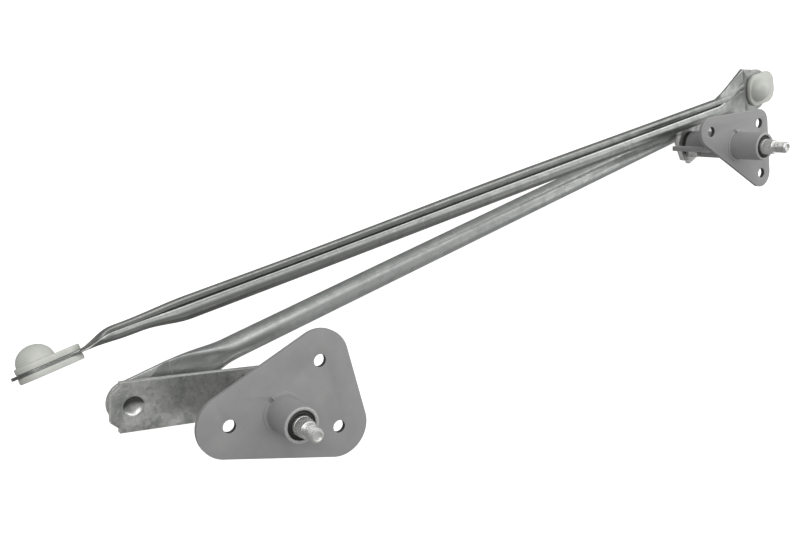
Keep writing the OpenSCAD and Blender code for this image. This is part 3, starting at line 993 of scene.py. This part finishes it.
@cache
def relief_tree() -> bpy.types.NodeTree:
    """Build the tree that gives a spindle its knurled ridges and its thread.

    Returns:
        The tree, with its sizes as inputs.
    """
    tree = bpy.data.node_groups.new("spindle_relief", "GeometryNodeTree")
    sizes = ("Axis X", "Ridge Radius", "Ridge Height", "Ridge Length", "Ridge Width", "Ridge Tilt",
             "Thread Start", "Thread Length", "Thread Turns", "Thread Radius", "Thread Depth")
    sockets = [("Geometry", "NodeSocketGeometry"), ("Ridges", "NodeSocketInt")]
    sockets += [(label, "NodeSocketFloat") for label in sizes]
    sockets.append(("Material", "NodeSocketMaterial"))
    for label, kind in sockets:
        tree.interface.new_socket(label, in_out="INPUT", socket_type=kind)
    tree.interface.new_socket("Geometry", in_out="OUTPUT", socket_type="NodeSocketGeometry")
    g = NodeGraph(tree)
    given = g.add("NodeGroupInput").outputs
    circle = {"Vertices": given["Ridges"], "Radius": given["Ridge Radius"]}
    round_line = g.add("GeometryNodeMeshCircle", circle)
    step = g.math("DIVIDE", 2 * math.pi, given["Ridges"])
    turn = g.math("MULTIPLY", g.add("GeometryNodeInputIndex").outputs[0], step)
    euler = g.add("ShaderNodeCombineXYZ", {"Y": given["Ridge Tilt"], "Z": turn})
    facing = g.add("FunctionNodeEulerToRotation", {0: euler.outputs[0]})
    width = given["Ridge Width"]
    bar = g.add("ShaderNodeCombineXYZ", {"X": width, "Y": width, "Z": given["Ridge Length"]})
    cube = g.add("GeometryNodeMeshCube", {"Size": bar.outputs[0]})
    corner_out = (0.0, 0.0, math.pi / 4)
    ridge = g.add("GeometryNodeTransform", {"Geometry": cube.outputs[0], "Rotation": corner_out})
    spread = g.add("GeometryNodeInstanceOnPoints", {
        "Points": round_line.outputs[0],
        "Instance": ridge.outputs[0],
        "Rotation": facing.outputs[0],
    })
    lift = g.add("ShaderNodeCombineXYZ", {"X": given["Axis X"], "Z": given["Ridge Height"]})
    knurl = g.add("GeometryNodeTransform", {"Geometry": spread.outputs[0], "Translation": lift.outputs[0]})
    coil = g.add("GeometryNodeCurveSpiral", {
        "Resolution": 28,
        "Rotations": given["Thread Turns"],
        "Start Radius": given["Thread Radius"],
        "End Radius": given["Thread Radius"],
        "Height": given["Thread Length"],
    })
    tooth = g.add("GeometryNodeCurvePrimitiveCircle", {"Resolution": 4, "Radius": given["Thread Depth"]})
    swept = g.add("GeometryNodeCurveToMesh", {
        "Curve": coil.outputs[0],
        "Profile Curve": tooth.outputs[0],
        "Fill Caps": True,
    })
    rise = g.add("ShaderNodeCombineXYZ", {"X": given["Axis X"], "Z": given["Thread Start"]})
    thread = g.add("GeometryNodeTransform", {"Geometry": swept.outputs[0], "Translation": rise.outputs[0]})
    together = g.add("GeometryNodeJoinGeometry")
    for part in (given["Geometry"], knurl.outputs[0], thread.outputs[0]):
        tree.links.new(part, together.inputs[0])
    real = g.add("GeometryNodeRealizeInstances", {0: together.outputs[0]})
    dressed = g.add("GeometryNodeSetMaterial", {"Geometry": real.outputs[0], "Material": given["Material"]})
    g.add("NodeGroupOutput", {0: dressed.outputs[0]})
    return tree


def with_nodes(mesh: bpy.types.Mesh, tree: bpy.types.NodeTree, values: dict[str, Any]) -> bpy.types.Mesh:
    """Run a mesh through a Geometry Nodes tree.

    Args:
        mesh: The mesh to start from.
        tree: The tree.
        values: Its inputs by name.

    Returns:
        A new plain mesh.
    """
    helper = bpy.data.objects.new("relief_helper", mesh)
    bpy.context.scene.collection.objects.link(helper)
    modifier = helper.modifiers.new("relief", "NODES")
    modifier.node_group = tree
    for item in tree.interface.items_tree:
        if item.in_out == "INPUT" and item.name in values:
            modifier[item.identifier] = values[item.name]
    depsgraph = bpy.context.evaluated_depsgraph_get()
    result = bpy.data.meshes.new_from_object(helper.evaluated_get(depsgraph), depsgraph=depsgraph)
    helper.modifiers.remove(modifier)
    bpy.data.objects.remove(helper)
    return result


@dataclass
class Bearing:
    """A bearing plate with its tube, rear ear, weld nut, bushes and seal."""

    side: Side
    finishes: Finishes
    holes: Profile
    plate_round: float = 0.6
    tube_round: float = 0.35
    seal_round: float = 0.35
    hole_r: float = 4.5
    hole_reach: float = 0.2
    wall_normal: float = 0.5

    def build(self) -> None:
        """Build and dress the bearing's pieces."""
        side, coats = self.side.value, self.finishes
        body = f"{side}_bearing"
        plate = softened(f"{side}_plate", f"{side}_bearing_plate", body, coats.paint, self.plate_round)
        self.mark_holes(plate.data)
        softened(f"{side}_tube", f"{side}_bearing_tube", body, coats.paint, self.tube_round)
        softened(f"{side}_ear", f"{side}_rear_ear", body, coats.paint, self.plate_round)
        softened(f"{side}_ear_nut", f"{side}_weld_nut", body, coats.nut_zinc, self.tube_round)
        softened(f"{side}_seal", f"{side}_lip_seal", body, coats.rubber, self.seal_round)
        for end in ("front", "rear"):
            dress_node(f"{side}_bush_{end}", coats.bronze)

    def mark_holes(self, mesh: bpy.types.Mesh) -> None:
        """Mark the walls of the plate's holes for painted shade, near black in the paint.

        Args:
            mesh: The plate's mesh.
        """
        layer = mesh.attributes.new(SHADE_LAYER, "FLOAT", "FACE")
        reach = (self.hole_r + self.hole_reach) * MM
        for face in mesh.polygons:
            near = min(math.dist(face.center[:2], (x * MM, y * MM)) for x, y in self.holes)
            on_wall = near < reach and abs(face.normal.z) < self.wall_normal
            layer.data[face.index].value = 1.0 if on_wall else 0.0


@dataclass
class Arm:
    """A spindle with its clip, thrust washer and pressed lever."""

    side: Side
    finishes: Finishes
    axis_x: float
    ball: Span
    lever_round: float = 0.6
    washer_round: float = 0.4
    stud_round: float = 0.3
    dimple_r: float = 7.7
    dimple_deep: float = 7.15
    dimple_flat: float = 0.45
    dimple_tilt: Span = (0.02, 0.999)
    dimple_lit: Span = (0.18, 0.98)
    # Painted shade on the dimple's upper wall and a painted highlight on its lower wall, set by the side the
    # light comes from.
    shade_fade: Span = (-0.12, 0.2)
    highlight_fade: Span = (0.1, 0.4)
    rub_and_highlight: float = 0.25
    rivet_r: float = 8.5
    rivet_z: Span = (-59.0, -57.0)
    tenon_r: float = 5.5
    tenon_top: float = -52.0
    shaft_r: float = 7.0
    groove_r: float = 6.3
    groove_z: Span = (22.8, 24.0)
    neck_r: float = 4.3
    tip_z: float = 50.2
    core_sharp: float = 28.0
    ridges: int = 36
    ridge_depth: float = 0.42
    ridge_sink: float = 0.02
    ridge_margin: float = 0.9
    cone: Span = (30.0, 38.0)
    cone_radius: Span = (7.0, 6.1)
    thread: Span = (39.6, 49.0)
    thread_radius: float = 5.0
    thread_depth: float = 0.55
    thread_sink: float = 0.05
    pitch: float = 1.25

    def build(self) -> None:
        """Build and dress the arm's pieces."""
        side, coats = self.side.value, self.finishes
        body = f"{side}_arm"
        node, name = f"{side}_lever", f"{side}_pressed_lever"
        lever = softened(node, name, body, coats.lever_zinc, self.lever_round, bright_sides=True)
        self.shape_dimple(lever.data)
        softened(f"{side}_washer", f"{side}_thrust_washer", body, coats.polymer, self.washer_round)
        place(self.spindle_mesh(), f"{side}_turned_spindle", body, coats.steel, [f"{side}_spindle"])
        dress_node(f"{side}_clip", coats.steel)
        if self.side is Side.RIGHT:
            softened("drive_stud", "drive_ball_stud", body, coats.steel, self.stud_round)

    def shape_dimple(self, mesh: bpy.types.Mesh) -> None:
        """Make the dimple drawn into the lever shallow, with painted shade on its upper wall and a painted
        highlight on its lower wall.

        Args:
            mesh: The lever's mesh.
        """
        top, ball = max(v.co.z for v in mesh.vertices), Vector(self.ball) * MM
        steep, level = self.dimple_tilt
        near = [f for f in mesh.polygons if (f.center.xy - ball).length < self.dimple_r * MM]
        upper = [f for f in near if f.center.z > top - self.dimple_deep * MM]
        dish = [f for f in upper if steep < f.normal.z < level]
        for index in {i for f in dish for i in f.vertices}:
            vert = mesh.vertices[index]
            vert.co.z = top - self.dimple_flat * (top - vert.co.z)
        mesh.update()
        shade_paint, wear_and_highlight = mesh.attributes.new(SHADE_LAYER, "FLOAT", "FACE"), mesh.attributes[EDGE_LAYER]
        # The wall facing away from the light gets painted shade, and the wall facing it gets a painted
        # highlight.
        for face in dish:
            lit = face.normal.xy.dot(Vector(self.dimple_lit))
            shade_paint.data[face.index].value = ease(-lit, *self.shade_fade)
            wear_and_highlight.data[face.index].value = self.rub_and_highlight * ease(lit, *self.highlight_fade)

    def profile(self) -> Profile:
        """Draw half a section of the spindle's core, without ridges and thread.

        Returns:
            Radius and height of its points, from the rivet head up to the centre hole in the tip.
        """
        shaft, rivet, neck, tip = self.shaft_r, self.rivet_r, self.neck_r, self.tip_z
        bottom, seat = self.rivet_z
        groove_low, groove_top = self.groove_z
        low, high = self.cone
        foot, top = (r - self.ridge_depth for r in self.cone_radius)
        start, stop = self.thread
        core = self.thread_radius - self.thread_depth - self.thread_sink
        return [
            (0.0, bottom), (rivet - 1.0, bottom), (rivet - 0.3, bottom + 0.3), (rivet, bottom + 1.0),
            (rivet, seat), (self.tenon_r, seat), (self.tenon_r, self.tenon_top), (shaft, self.tenon_top),
            (shaft, groove_low), (self.groove_r, groove_low), (self.groove_r, groove_top),
            (shaft, groove_top), (shaft, low - 0.4), (shaft - 0.2, low), (foot, low + 0.15),
            (top, high - 0.3), (top - 0.35, high), (neck, high + 0.05), (neck, start - 0.5),
            (core, start), (core, stop - 0.1), (4.6, stop), (3.9, tip - 0.15), (3.6, tip),
            (2.95, tip), (2.8, tip - 0.15), (2.7, tip - 1.35), (0.0, tip - 1.4),
        ]

    def spindle_mesh(self) -> bpy.types.Mesh:
        """Turn the spindle's core, then add its ridges and its thread.

        Returns:
            The spindle's mesh.
        """
        low, high = self.cone
        wide, slim = self.cone_radius
        half, tooth = self.ridge_depth, self.thread_depth
        core = finish_mesh(revolved(self.profile(), self.axis_x), "spindle_core", self.core_sharp)
        length = self.thread[1] - self.thread[0] - 2 * tooth
        mesh = with_nodes(core, relief_tree(), {
            "Axis X": self.axis_x * MM,
            "Ridges": self.ridges,
            "Ridge Radius": ((wide + slim) / 2 - half - self.ridge_sink) * MM,
            "Ridge Height": (low + high) / 2 * MM,
            "Ridge Length": (high - low - self.ridge_margin) * MM,
            "Ridge Width": half * math.sqrt(2.0) * MM,
            "Ridge Tilt": -math.atan2(wide - slim, high - low),
            "Thread Start": (self.thread[0] + tooth) * MM,
            "Thread Length": length * MM,
            "Thread Turns": length / self.pitch,
            "Thread Radius": (self.thread_radius - tooth) * MM,
            "Thread Depth": tooth * MM,
            "Material": self.finishes.steel.material,
        })
        mesh.name = f"{self.side.value}_turned_spindle"
        return mesh


@dataclass
class TieRod:
    """The tube between the two levers, flattened at both ends around its sockets."""

    finishes: Finishes
    axis: RodFrame = RodFrame(*TIE_BALL[Side.LEFT], turn=-2.25788)
    length: float = 650.3977
    radius: float = 8.75
    tube_z: float = -70.5
    flat_z: float = -64.4
    flat_half: Span = (14.7, 1.6)
    flat_round: Point = (0.5, 0.12, 0.15)
    flat_end: float = 34.0
    tube_start: float = 84.0
    eye: float = 15.0
    eye_points: int = 57
    neck_points: int = 9
    hole: float = 11.55
    socket_round: float = 0.5
    narrowing: Span = (0.0, 0.88)
    rounding: Span = (0.25, 1.0)
    flatness: float = 0.28
    dent: float = 1.5
    dent_at: float = 0.62
    dent_along: float = 0.17
    dent_across: float = 4.6
    points: int = 48
    steps: int = 22

    def build(self) -> None:
        """Build and dress the tie rod and its sockets."""
        bm = new_shell()
        skin(bm, self.rings())
        half, thick = self.flat_half
        line, wall = self.eye_line(half), rounded_wall(-thick, thick, *self.flat_round)
        for start, way in ((0.0, 1.0), (self.length, -1.0)):
            def at(x: float, y: float, z: float, start: float = start, way: float = way) -> Vector:
                """A point of this end's plate in the shared frame."""
                return self.axis.point(start + way * x, way * y, self.flat_z + z)

            eye_plate(bm, line, self.hole, wall, at)
        mesh = finish_mesh(bm, "tie_tube", ROD_SHARP)
        place(mesh, "tie_tube", "tie", self.finishes.tie_zinc, ["tie_rod"])
        for side in Side:
            node, name = f"{side.value}_tie_socket", f"{side.value}_tie_ball_socket"
            softened(node, name, "tie", self.finishes.nylon, self.socket_round)

    def eye_line(self, half: float) -> Profile:
        """Draw the outer line of a flattened end: a round eye with a neck towards the tube.

        Args:
            half: Half the neck's width.

        Returns:
            Its points, all round the eye's centre.
        """
        turn = math.degrees(math.asin(half / self.eye))
        neck = spaced([(self.flat_end, -half), (self.flat_end, half)], self.neck_points)[1:-1]
        root = self.eye * math.cos(math.radians(turn))
        side = spaced([(root, half), (self.flat_end, half)], self.neck_points)[1:]
        eye = arc((0.0, 0.0), self.eye, turn, 360.0 - turn, self.eye_points)
        return eye + mirrored(side) + neck + side[::-1]

    def section(self, share: float) -> Profile:
        """Section of the rod on its way from the flat neck to the round tube.

        Args:
            share: Share of the way, 0 at the neck.

        Returns:
            Its points across the rod.
        """
        half, thick = self.flat_half
        turn = ease(share, 0.0, 1.0)
        spread = ease(share, *self.narrowing)
        middle = mix(self.flat_z, self.tube_z, turn)
        tall = mix(thick, self.radius, turn)
        wide = mix(half, self.radius, spread)
        power = mix(self.flatness, 1.0, ease(share, *self.rounding))
        sunk = self.dent * math.exp(-((share - self.dent_at) / self.dent_along) ** 2)
        points = []
        for i in range(self.points):
            angle = 2.0 * math.pi * i / self.points
            c, s = math.cos(angle), math.sin(angle)
            y = wide * math.copysign(abs(c) ** power, c)
            z = tall * math.copysign(abs(s) ** power, s)
            z -= sunk * math.exp(-(y / self.dent_across) ** 2) if s > 0.0 else 0.0
            points.append((y, middle + z))
        return points

    def rings(self) -> list[Ring]:
        """Set rings along the rod from one flat neck to the other.

        Returns:
            The rings in order.
        """
        reach = self.tube_start - self.flat_end
        shares = [i / self.steps for i in range(self.steps + 1)]
        sections = [(self.flat_end + reach * share, self.section(share)) for share in shares]
        near = [self.axis.ring(x, section) for x, section in sections]
        far = [self.axis.ring(self.length - x, section) for x, section in reversed(sections)]
        return near + far


@dataclass
class DriveRod:
    """The rolled rod to the motor, with a fan at one end and an upright strip at the other."""

    finishes: Finishes
    axis: RodFrame = RodFrame(584.9528, 21.0564, -6.2)
    centre: Span = (-3.7, -41.5)
    wide: Point = (-3.4, 0.0, 5.6)
    wide_arc: Span = (-17.0, -314.0)
    narrow: Point = (5.4, -0.6, 3.6)
    bead_arc: Span = (152.0, 40.0)
    narrow_arc: Span = (28.0, -160.0)
    lip: tuple[Span, ...] = ((4.15, 3.9), (4.75, 3.82), (5.15, 3.5), (5.25, 2.7), (5.42, 1.7))
    counts: tuple[int, int, int] = (26, 9, 13)
    # Strips of the lip that get the painted highlight.
    lip_highlight_strips: int = 3
    belly_shift: float = 0.9
    fan_x: float = -66.0
    plate_x: float = -18.0
    fan_r: float = 20.2
    fan_steps: int = 24
    flat_x: float = -22.0
    flat_power: float = 1.25
    lip_x: float = -30.0
    bead_x: float = -48.0
    rim_x: float = -62.0
    fan_bead: Point = (7.0, 2.9, 1.0)
    fan_points: tuple[int, int, int] = (29, 9, 41)
    sheet: Span = (-46.2, -43.0)
    sheet_round: Point = (0.6, 0.15, 0.2)
    wing: Span = (24.5, -19.7)
    motor_x: float = -600.0
    motor_steps: int = 30
    straight_x: float = -300.0
    straight_steps: int = 14
    slim_x: float = -560.0
    slim_narrow: Span = (0.8, 0.5)
    slim_pinch: Span = (1.0, 1.4)
    slim_sag: float = 0.7
    belly: Span = (3.4, 2.6)
    belly_ways: tuple[Span, Span] = ((0.1, 0.5), (0.6, 1.0))
    pinch_way: Span = (0.1, 0.65)
    fold_way: Span = (0.7, 1.0)
    fold_power: float = 1.2
    motor_ball: Span = (-706.5, -7.2)
    motor_turn: float = 3.0
    motor_lean: float = 17.5
    strip: float = 24.0
    eye: float = 16.5
    strip_half: float = 14.7
    strip_points: tuple[int, int, int] = (17, 9, 41)
    hole: float = 11.55
    sheet_t: float = 3.2
    closing: float = 0.55
    closing_reach: float = 0.05
    socket_round: float = 0.9

    def build(self) -> None:
        """Build and dress the drive rod and its sockets."""
        bm = new_shell()
        # The lip's strips get the edge mask: a painted highlight along the lip.
        wear_and_highlight = [self.counts[0] + i for i in range(self.lip_highlight_strips)]
        skin(bm, self.motor_rings() + self.fan_rings(), wear_and_highlight)
        self.add_fan_plate(bm)
        self.add_strip(bm)
        mesh = finish_mesh(bm, "drive_rolled_rod", ROD_SHARP)
        place(mesh, "drive_rolled_rod", "drive", self.finishes.drive_zinc, ["drive_rod"])
        softened("drive_socket", "drive_ball_socket", "drive", self.finishes.nylon, self.socket_round)
        self.add_motor_socket()

    def add_motor_socket(self) -> None:
        """Stand the motor's socket in, its flanges closed on the thin pressed strip."""
        ball = self.axis.point(*self.at_motor(0.0, 0.0, 0.0))
        up = (self.axis.point(*self.at_motor(0.0, 0.0, 1.0)) - ball).normalized()
        bm = cad_copy("motor_socket")
        for vert in bm.verts:
            height = (vert.co - ball).dot(up) / MM
            if abs(height) < self.closing_reach:
                vert.co -= up * self.closing * MM
            elif abs(height + self.sheet_t) < self.closing_reach:
                vert.co += up * self.closing * MM
        round_edges(bm, self.socket_round)
        mesh = finish_mesh(bm, "motor_ball_socket")
        place(mesh, "motor_ball_socket", "drive", self.finishes.nylon, ["motor_socket"])

    def lobes(self, wide_r: float, narrow_r: float, pinch: float = 0.0, sag: float = 0.0) -> Profile:
        """Section of the rod about its lobes: wide lobe, free sheet edge, groove and narrow lobe.

        Args:
            wide_r: Radius of the wide lobe, which shrinks towards the groove.
            narrow_r: Radius of the narrow lobe.
            pinch: How much nearer the narrow lobe lies to the wide one.
            sag: How far the whole section lies to the wide lobe's side.

        Returns:
            Its points across the rod.
        """
        y0, z0 = self.centre[0] - sag, self.centre[1]
        shift = self.belly_shift * (self.wide[2] - wide_r)
        wide = (y0 + self.wide[0] + shift, z0 + self.wide[1])
        narrow = (y0 + self.narrow[0] - pinch, z0 + self.narrow[1])
        size = wide_r / self.wide[2]
        belly = arc(wide, wide_r, *self.wide_arc, self.counts[0])
        edge = [(wide[0] + size * y, wide[1] + size * z) for y, z in self.lip]
        bead = arc(narrow, narrow_r, *self.bead_arc, self.counts[1])
        rest = arc(narrow, narrow_r, *self.narrow_arc, self.counts[2])
        return belly + edge + bead + rest

    def at_motor(self, x: float, y: float, z: float) -> Point:
        """Put a point of the motor ball's frame into the rod's frame.

        Args:
            x: Its place towards the rod.
            y: Its place along the strip's height.
            z: Its place out of the dome.

        Returns:
            The point in the rod's frame.
        """
        lean = math.radians(-90.0 - self.motor_lean)
        across = math.cos(lean) * y - math.sin(lean) * z
        up = math.sin(lean) * y + math.cos(lean) * z
        c, s = math.cos(math.radians(self.motor_turn)), math.sin(math.radians(self.motor_turn))
        ball_x, ball_y = self.motor_ball
        return ball_x + c * x - s * across, ball_y + s * x + c * across, self.centre[1] + up

    def strip_section(self) -> Profile:
        """Section of the upright strip where the rod runs into it, as two pressed layers.

        Returns:
            Its points across the rod, as many as the lobes have.
        """
        tall, deep = self.strip_half, self.sheet_t - 2.0 * self.closing
        first, second, third = self.counts
        below = spaced([(tall, -deep / 2), (tall, -deep), (-tall, -deep)], first)
        edge = [
            (-tall, -0.92 * deep),
            (-tall - 0.02, -0.75 * deep),
            (-tall, -0.56 * deep),
            (0.6 - tall, -0.52 * deep),
            (0.8 - tall, -0.5 * deep),
        ]
        seam = [(0.6 - tall, -0.48 * deep), (-tall, -0.4 * deep)]
        outer = [(-tall, 0.0), (tall, 0.0), (tall, -0.46 * deep)]
        above = spaced(seam + outer, second + third)
        return [self.at_motor(self.strip, y, z - self.closing)[1:] for y, z in below + edge + above]

    def motor_rings(self) -> list[Ring]:
        """Set rings from the upright strip along the rod to its straight part.

        Returns:
            The rings in order.
        """
        end, target = self.at_motor(self.strip, 0.0, 0.0)[0], self.strip_section()
        places = [mix(end, self.motor_x, i / self.motor_steps) for i in range(self.motor_steps)]
        steps = self.straight_steps
        places += [mix(self.motor_x, self.straight_x, i / steps) for i in range(steps + 1)]
        rings = []
        for x in places:
            slim = 1.0 - ease(x, self.slim_x, self.straight_x)
            share = max(0.0, (self.motor_x - x) / (self.motor_x - end))
            late = ease(share, *self.pinch_way)
            belly = self.wide[2]
            for radius, way in zip(self.belly, self.belly_ways):
                belly = mix(belly, radius, ease(share, *way))
            narrow = self.narrow[2] - self.slim_narrow[0] * slim - self.slim_narrow[1] * late
            pinch = self.slim_pinch[0] * slim + self.slim_pinch[1] * late
            section = self.lobes(belly, narrow, pinch, self.slim_sag * slim)
            fold = ease(share, *self.fold_way) ** self.fold_power
            rings.append(self.axis.ring(x, joined(section, target, fold)))
        return rings

    def fan_section(self) -> Profile:
        """Section of the open sheet at the end of the fan: lower edge, flat, bead, wing and raised rim.

        Returns:
            Its points across the rod, as many as the lobes have.
        """
        low, top = self.sheet
        high, deep = self.wing
        first, second, third = self.counts
        below = spaced([(4.5, low), (deep + 1.4, low)], 8)
        lower = [
            (deep + 0.2, low + 0.6), (deep, low + 1.6), (deep + 0.2, top - 0.2), (deep + 1.1, top + 0.75),
            (deep + 2.3, top + 0.9), (deep + 3.3, top + 0.4), (deep + 4.3, top),
        ]
        flat = spaced([(deep + 5.3, top), (2.4, top)], first - len(below) - len(lower))
        edge = spaced([(2.7, top), (3.9, top)], len(self.lip))
        middle, half, tall = self.fan_bead
        bead = [(middle + half * c, top + tall * s) for c, s in arc((0.0, 0.0), 1.0, 180.0, 0.0, second)]
        rim = [
            (11.5, top), (16.0, top), (20.0, top), (20.9, top + 0.35), (22.0, top + 0.9), (23.2, top + 0.8),
            (24.2, top), (high, top - 1.2), (high - 0.1, low + 0.7), (high - 0.9, low), (18.0, low),
            (11.0, low), (6.0, low),
        ]
        return below + lower + flat + edge + bead + rim[:third]

    def fan_rings(self) -> list[Ring]:
        """Set rings from the end of the rod to the fan's plate.

        Returns:
            The rings in order.
        """
        start, target = self.lobes(self.wide[2], self.narrow[2]), self.fan_section()
        first, second, third = self.counts
        rings = []
        for i in range(self.fan_steps + 1):
            x = mix(self.fan_x, self.plate_x, i / self.fan_steps)
            straight = min(1.0, max(0.0, (x - self.rim_x) / (self.plate_x - self.rim_x)))
            shares = [ease(x, self.fan_x, self.flat_x) ** self.flat_power] * first
            shares += [ease(x, self.fan_x, self.lip_x)] * len(self.lip)
            shares += [ease(x, self.bead_x, self.plate_x)] * second
            shares += [straight] * third
            section = [(mix(a[0], b[0], w), mix(a[1], b[1], w)) for a, b, w in zip(start, target, shares)]
            rings.append(self.axis.ring(x, section))
        return rings

    def add_fan_plate(self, bm: bmesh.types.BMesh) -> None:
        """Add the fan's round end with the hole for its socket.

        Args:
            bm: The mesh that takes the plate.
        """
        high, deep = self.wing
        across, flank, end = self.fan_points
        line = spaced([(self.plate_x, high), (self.plate_x, deep)], across)
        line += spaced([(self.plate_x, deep), (0.0, -self.fan_r)], flank)[1:]
        line += arc((0.0, 0.0), self.fan_r, -90.0, 90.0, end)[1:]
        line += spaced([(0.0, self.fan_r), (self.plate_x, high)], flank)[1:-1]
        wall = rounded_wall(*self.sheet, *self.sheet_round)
        eye_plate(bm, line, self.hole, wall, self.axis.point)

    def add_strip(self, bm: bmesh.types.BMesh) -> None:
        """Add the upright strip of two pressed layers, with its eye around the motor's ball.

        Args:
            bm: The mesh that takes the strip.
        """
        deep, half = self.sheet_t - 2.0 * self.closing, self.strip_half
        across, flank, end = self.strip_points
        side = spaced([(0.0, half), (self.strip, half)], flank)[1:]
        line = [(x * self.eye / half, y) for x, y in arc((0.0, 0.0), half, 90.0, 270.0, end)]
        line += mirrored(side)
        line += spaced([(self.strip, -half), (self.strip, half)], across)[1:-1] + side[::-1]
        upper = [(0.35, 0.0), (0.0, -0.25), (0.0, 0.15 - deep / 2)]
        seam = [(0.3, -deep / 2)]
        wall = upper + seam + [(inset, -deep - z) for inset, z in reversed(upper)]

        def at(x: float, y: float, z: float) -> Vector:
            """A point of the strip in the shared frame."""
            return self.axis.point(*self.at_motor(x, y, z - self.closing))

        eye_plate(bm, line, self.hole, wall, at, wear_and_highlight=0.0)


@dataclass(frozen=True)
class SoftLight:
    """A large soft lamp."""

    name: str
    position: Point
    width: float
    height: float
    power: float

    def build(self, target: Vector) -> None:
        """Hang the lamp and turn it to the linkage.

        Args:
            target: The point that it shines on.
        """
        lamp = bpy.data.lights.new(self.name, "AREA")
        lamp.shape, lamp.size, lamp.size_y, lamp.energy = "RECTANGLE", self.width, self.height, self.power
        holder = bpy.data.objects.new(self.name, lamp)
        bpy.context.scene.collection.objects.link(holder)
        holder.location = self.position
        holder.rotation_euler = (target - Vector(self.position)).to_track_quat("-Z", "Y").to_euler()


@dataclass
class Studio:
    """Floor, soft light and the camera at the photograph's angle."""

    floor_half: float = 12.0
    floor_gap: float = 0.0003
    floor_shade: Span = (0.46, 0.5)
    floor_seen: float = 0.96
    floor_grain: float = 40.0
    dome: float = 0.32
    camera_at: Point = (-0.14681, 0.26223, 0.49256)
    camera_right: Point = (0.78999, -0.28348, 0.54365)
    camera_down: Point = (-0.42469, -0.89254, 0.15172)
    lens: float = 38.25
    sensor: float = 36.0
    clip: Span = (0.01, 100.0)
    lamps: tuple[SoftLight, ...] = (
        SoftLight("key_light", (1.48, 1.22, 1.05), 3.0, 1.1, 19.0),
        SoftLight("fill_light", (-0.35, 1.15, 1.5), 1.3, 1.1, 14.0),
        SoftLight("end_light", (2.2, -0.7, 1.0), 1.6, 2.0, 10.0),
        SoftLight("lever_light", (0.12, -0.78, 1.35), 0.7, 0.6, 0.55),
    )

    def build(self) -> None:
        """Build the whole studio."""
        self.add_floor()
        self.add_dome()
        centre = (CAD_BOX[0] + CAD_BOX[1]) / 2
        for lamp in self.lamps:
            lamp.build(centre)
        self.add_camera()
        bpy.context.scene.view_settings.view_transform = "Standard"

    def add_floor(self) -> None:
        """Lay a plain pale floor under the linkage."""
        z, half = CAD_BOX[0].z - self.floor_gap, self.floor_half
        corners = [(-half, -half, z), (half, -half, z), (half, half, z), (-half, half, z)]
        mesh = bpy.data.meshes.new("floor")
        mesh.from_pydata(corners, [], [(0, 1, 2, 3)])
        floor = bpy.data.objects.new("floor", mesh)
        bpy.context.scene.collection.objects.link(floor)
        mesh.materials.append(self.floor_material())

    def floor_material(self) -> bpy.types.Material:
        """Build a pale floor that stays white in the picture and reflects more softly in the metal.

        Returns:
            The material.
        """
        material = bpy.data.materials.new("floor_white")
        material.use_nodes = True
        tree = material.node_tree
        g, shader = NodeGraph(tree), tree.nodes["Principled BSDF"]
        grain = g.noise(g.add("ShaderNodeTexCoord").outputs["Object"], self.floor_grain, detail=4.0)
        seen = g.add("ShaderNodeLightPath").outputs["Is Camera Ray"]
        low, high = self.floor_shade
        shader.inputs["Roughness"].default_value = 0.9
        shader.inputs["Emission Strength"].default_value = 1.0
        g.feed(shader.inputs["Base Color"], g.blend(grain.outputs["Fac"], grey(low), grey(high)))
        g.feed(shader.inputs["Emission Color"], g.blend(seen, grey(0.0), grey(self.floor_seen)))
        return material

    def add_dome(self) -> None:
        """Fill the surroundings with even white light."""
        world = bpy.data.worlds.new("studio_dome")
        world.use_nodes = True
        background = world.node_tree.nodes["Background"]
        background.inputs["Color"].default_value = rgba(1.0, 1.0, 1.0)
        background.inputs["Strength"].default_value = self.dome
        bpy.context.scene.world = world

    def add_camera(self) -> None:
        """Set the camera where the photograph was taken from."""
        data = bpy.data.cameras.new("photo_camera")
        data.lens, data.sensor_width = self.lens, self.sensor
        data.clip_start, data.clip_end = self.clip
        camera = bpy.data.objects.new("photo_camera", data)
        bpy.context.scene.collection.objects.link(camera)
        right, up = Vector(self.camera_right), -Vector(self.camera_down)
        back = right.cross(up)
        turn = Matrix((right, up, back)).transposed().to_4x4()
        camera.matrix_world = Matrix.Translation(self.camera_at) @ turn
        bpy.context.scene.camera = camera


def main() -> None:
    """Build the studio, then each sub-assembly."""
    logging.basicConfig(level=logging.INFO, format="%(name)s: %(message)s")
    Studio().build()
    finishes = Finishes()
    for side in Side:
        Bearing(side, finishes, HOLES[side]).build()
        Arm(side, finishes, AXIS_X[side], TIE_BALL[side]).build()
    TieRod(finishes).build()
    DriveRod(finishes).build()


if __name__ == "__main__":
    main()
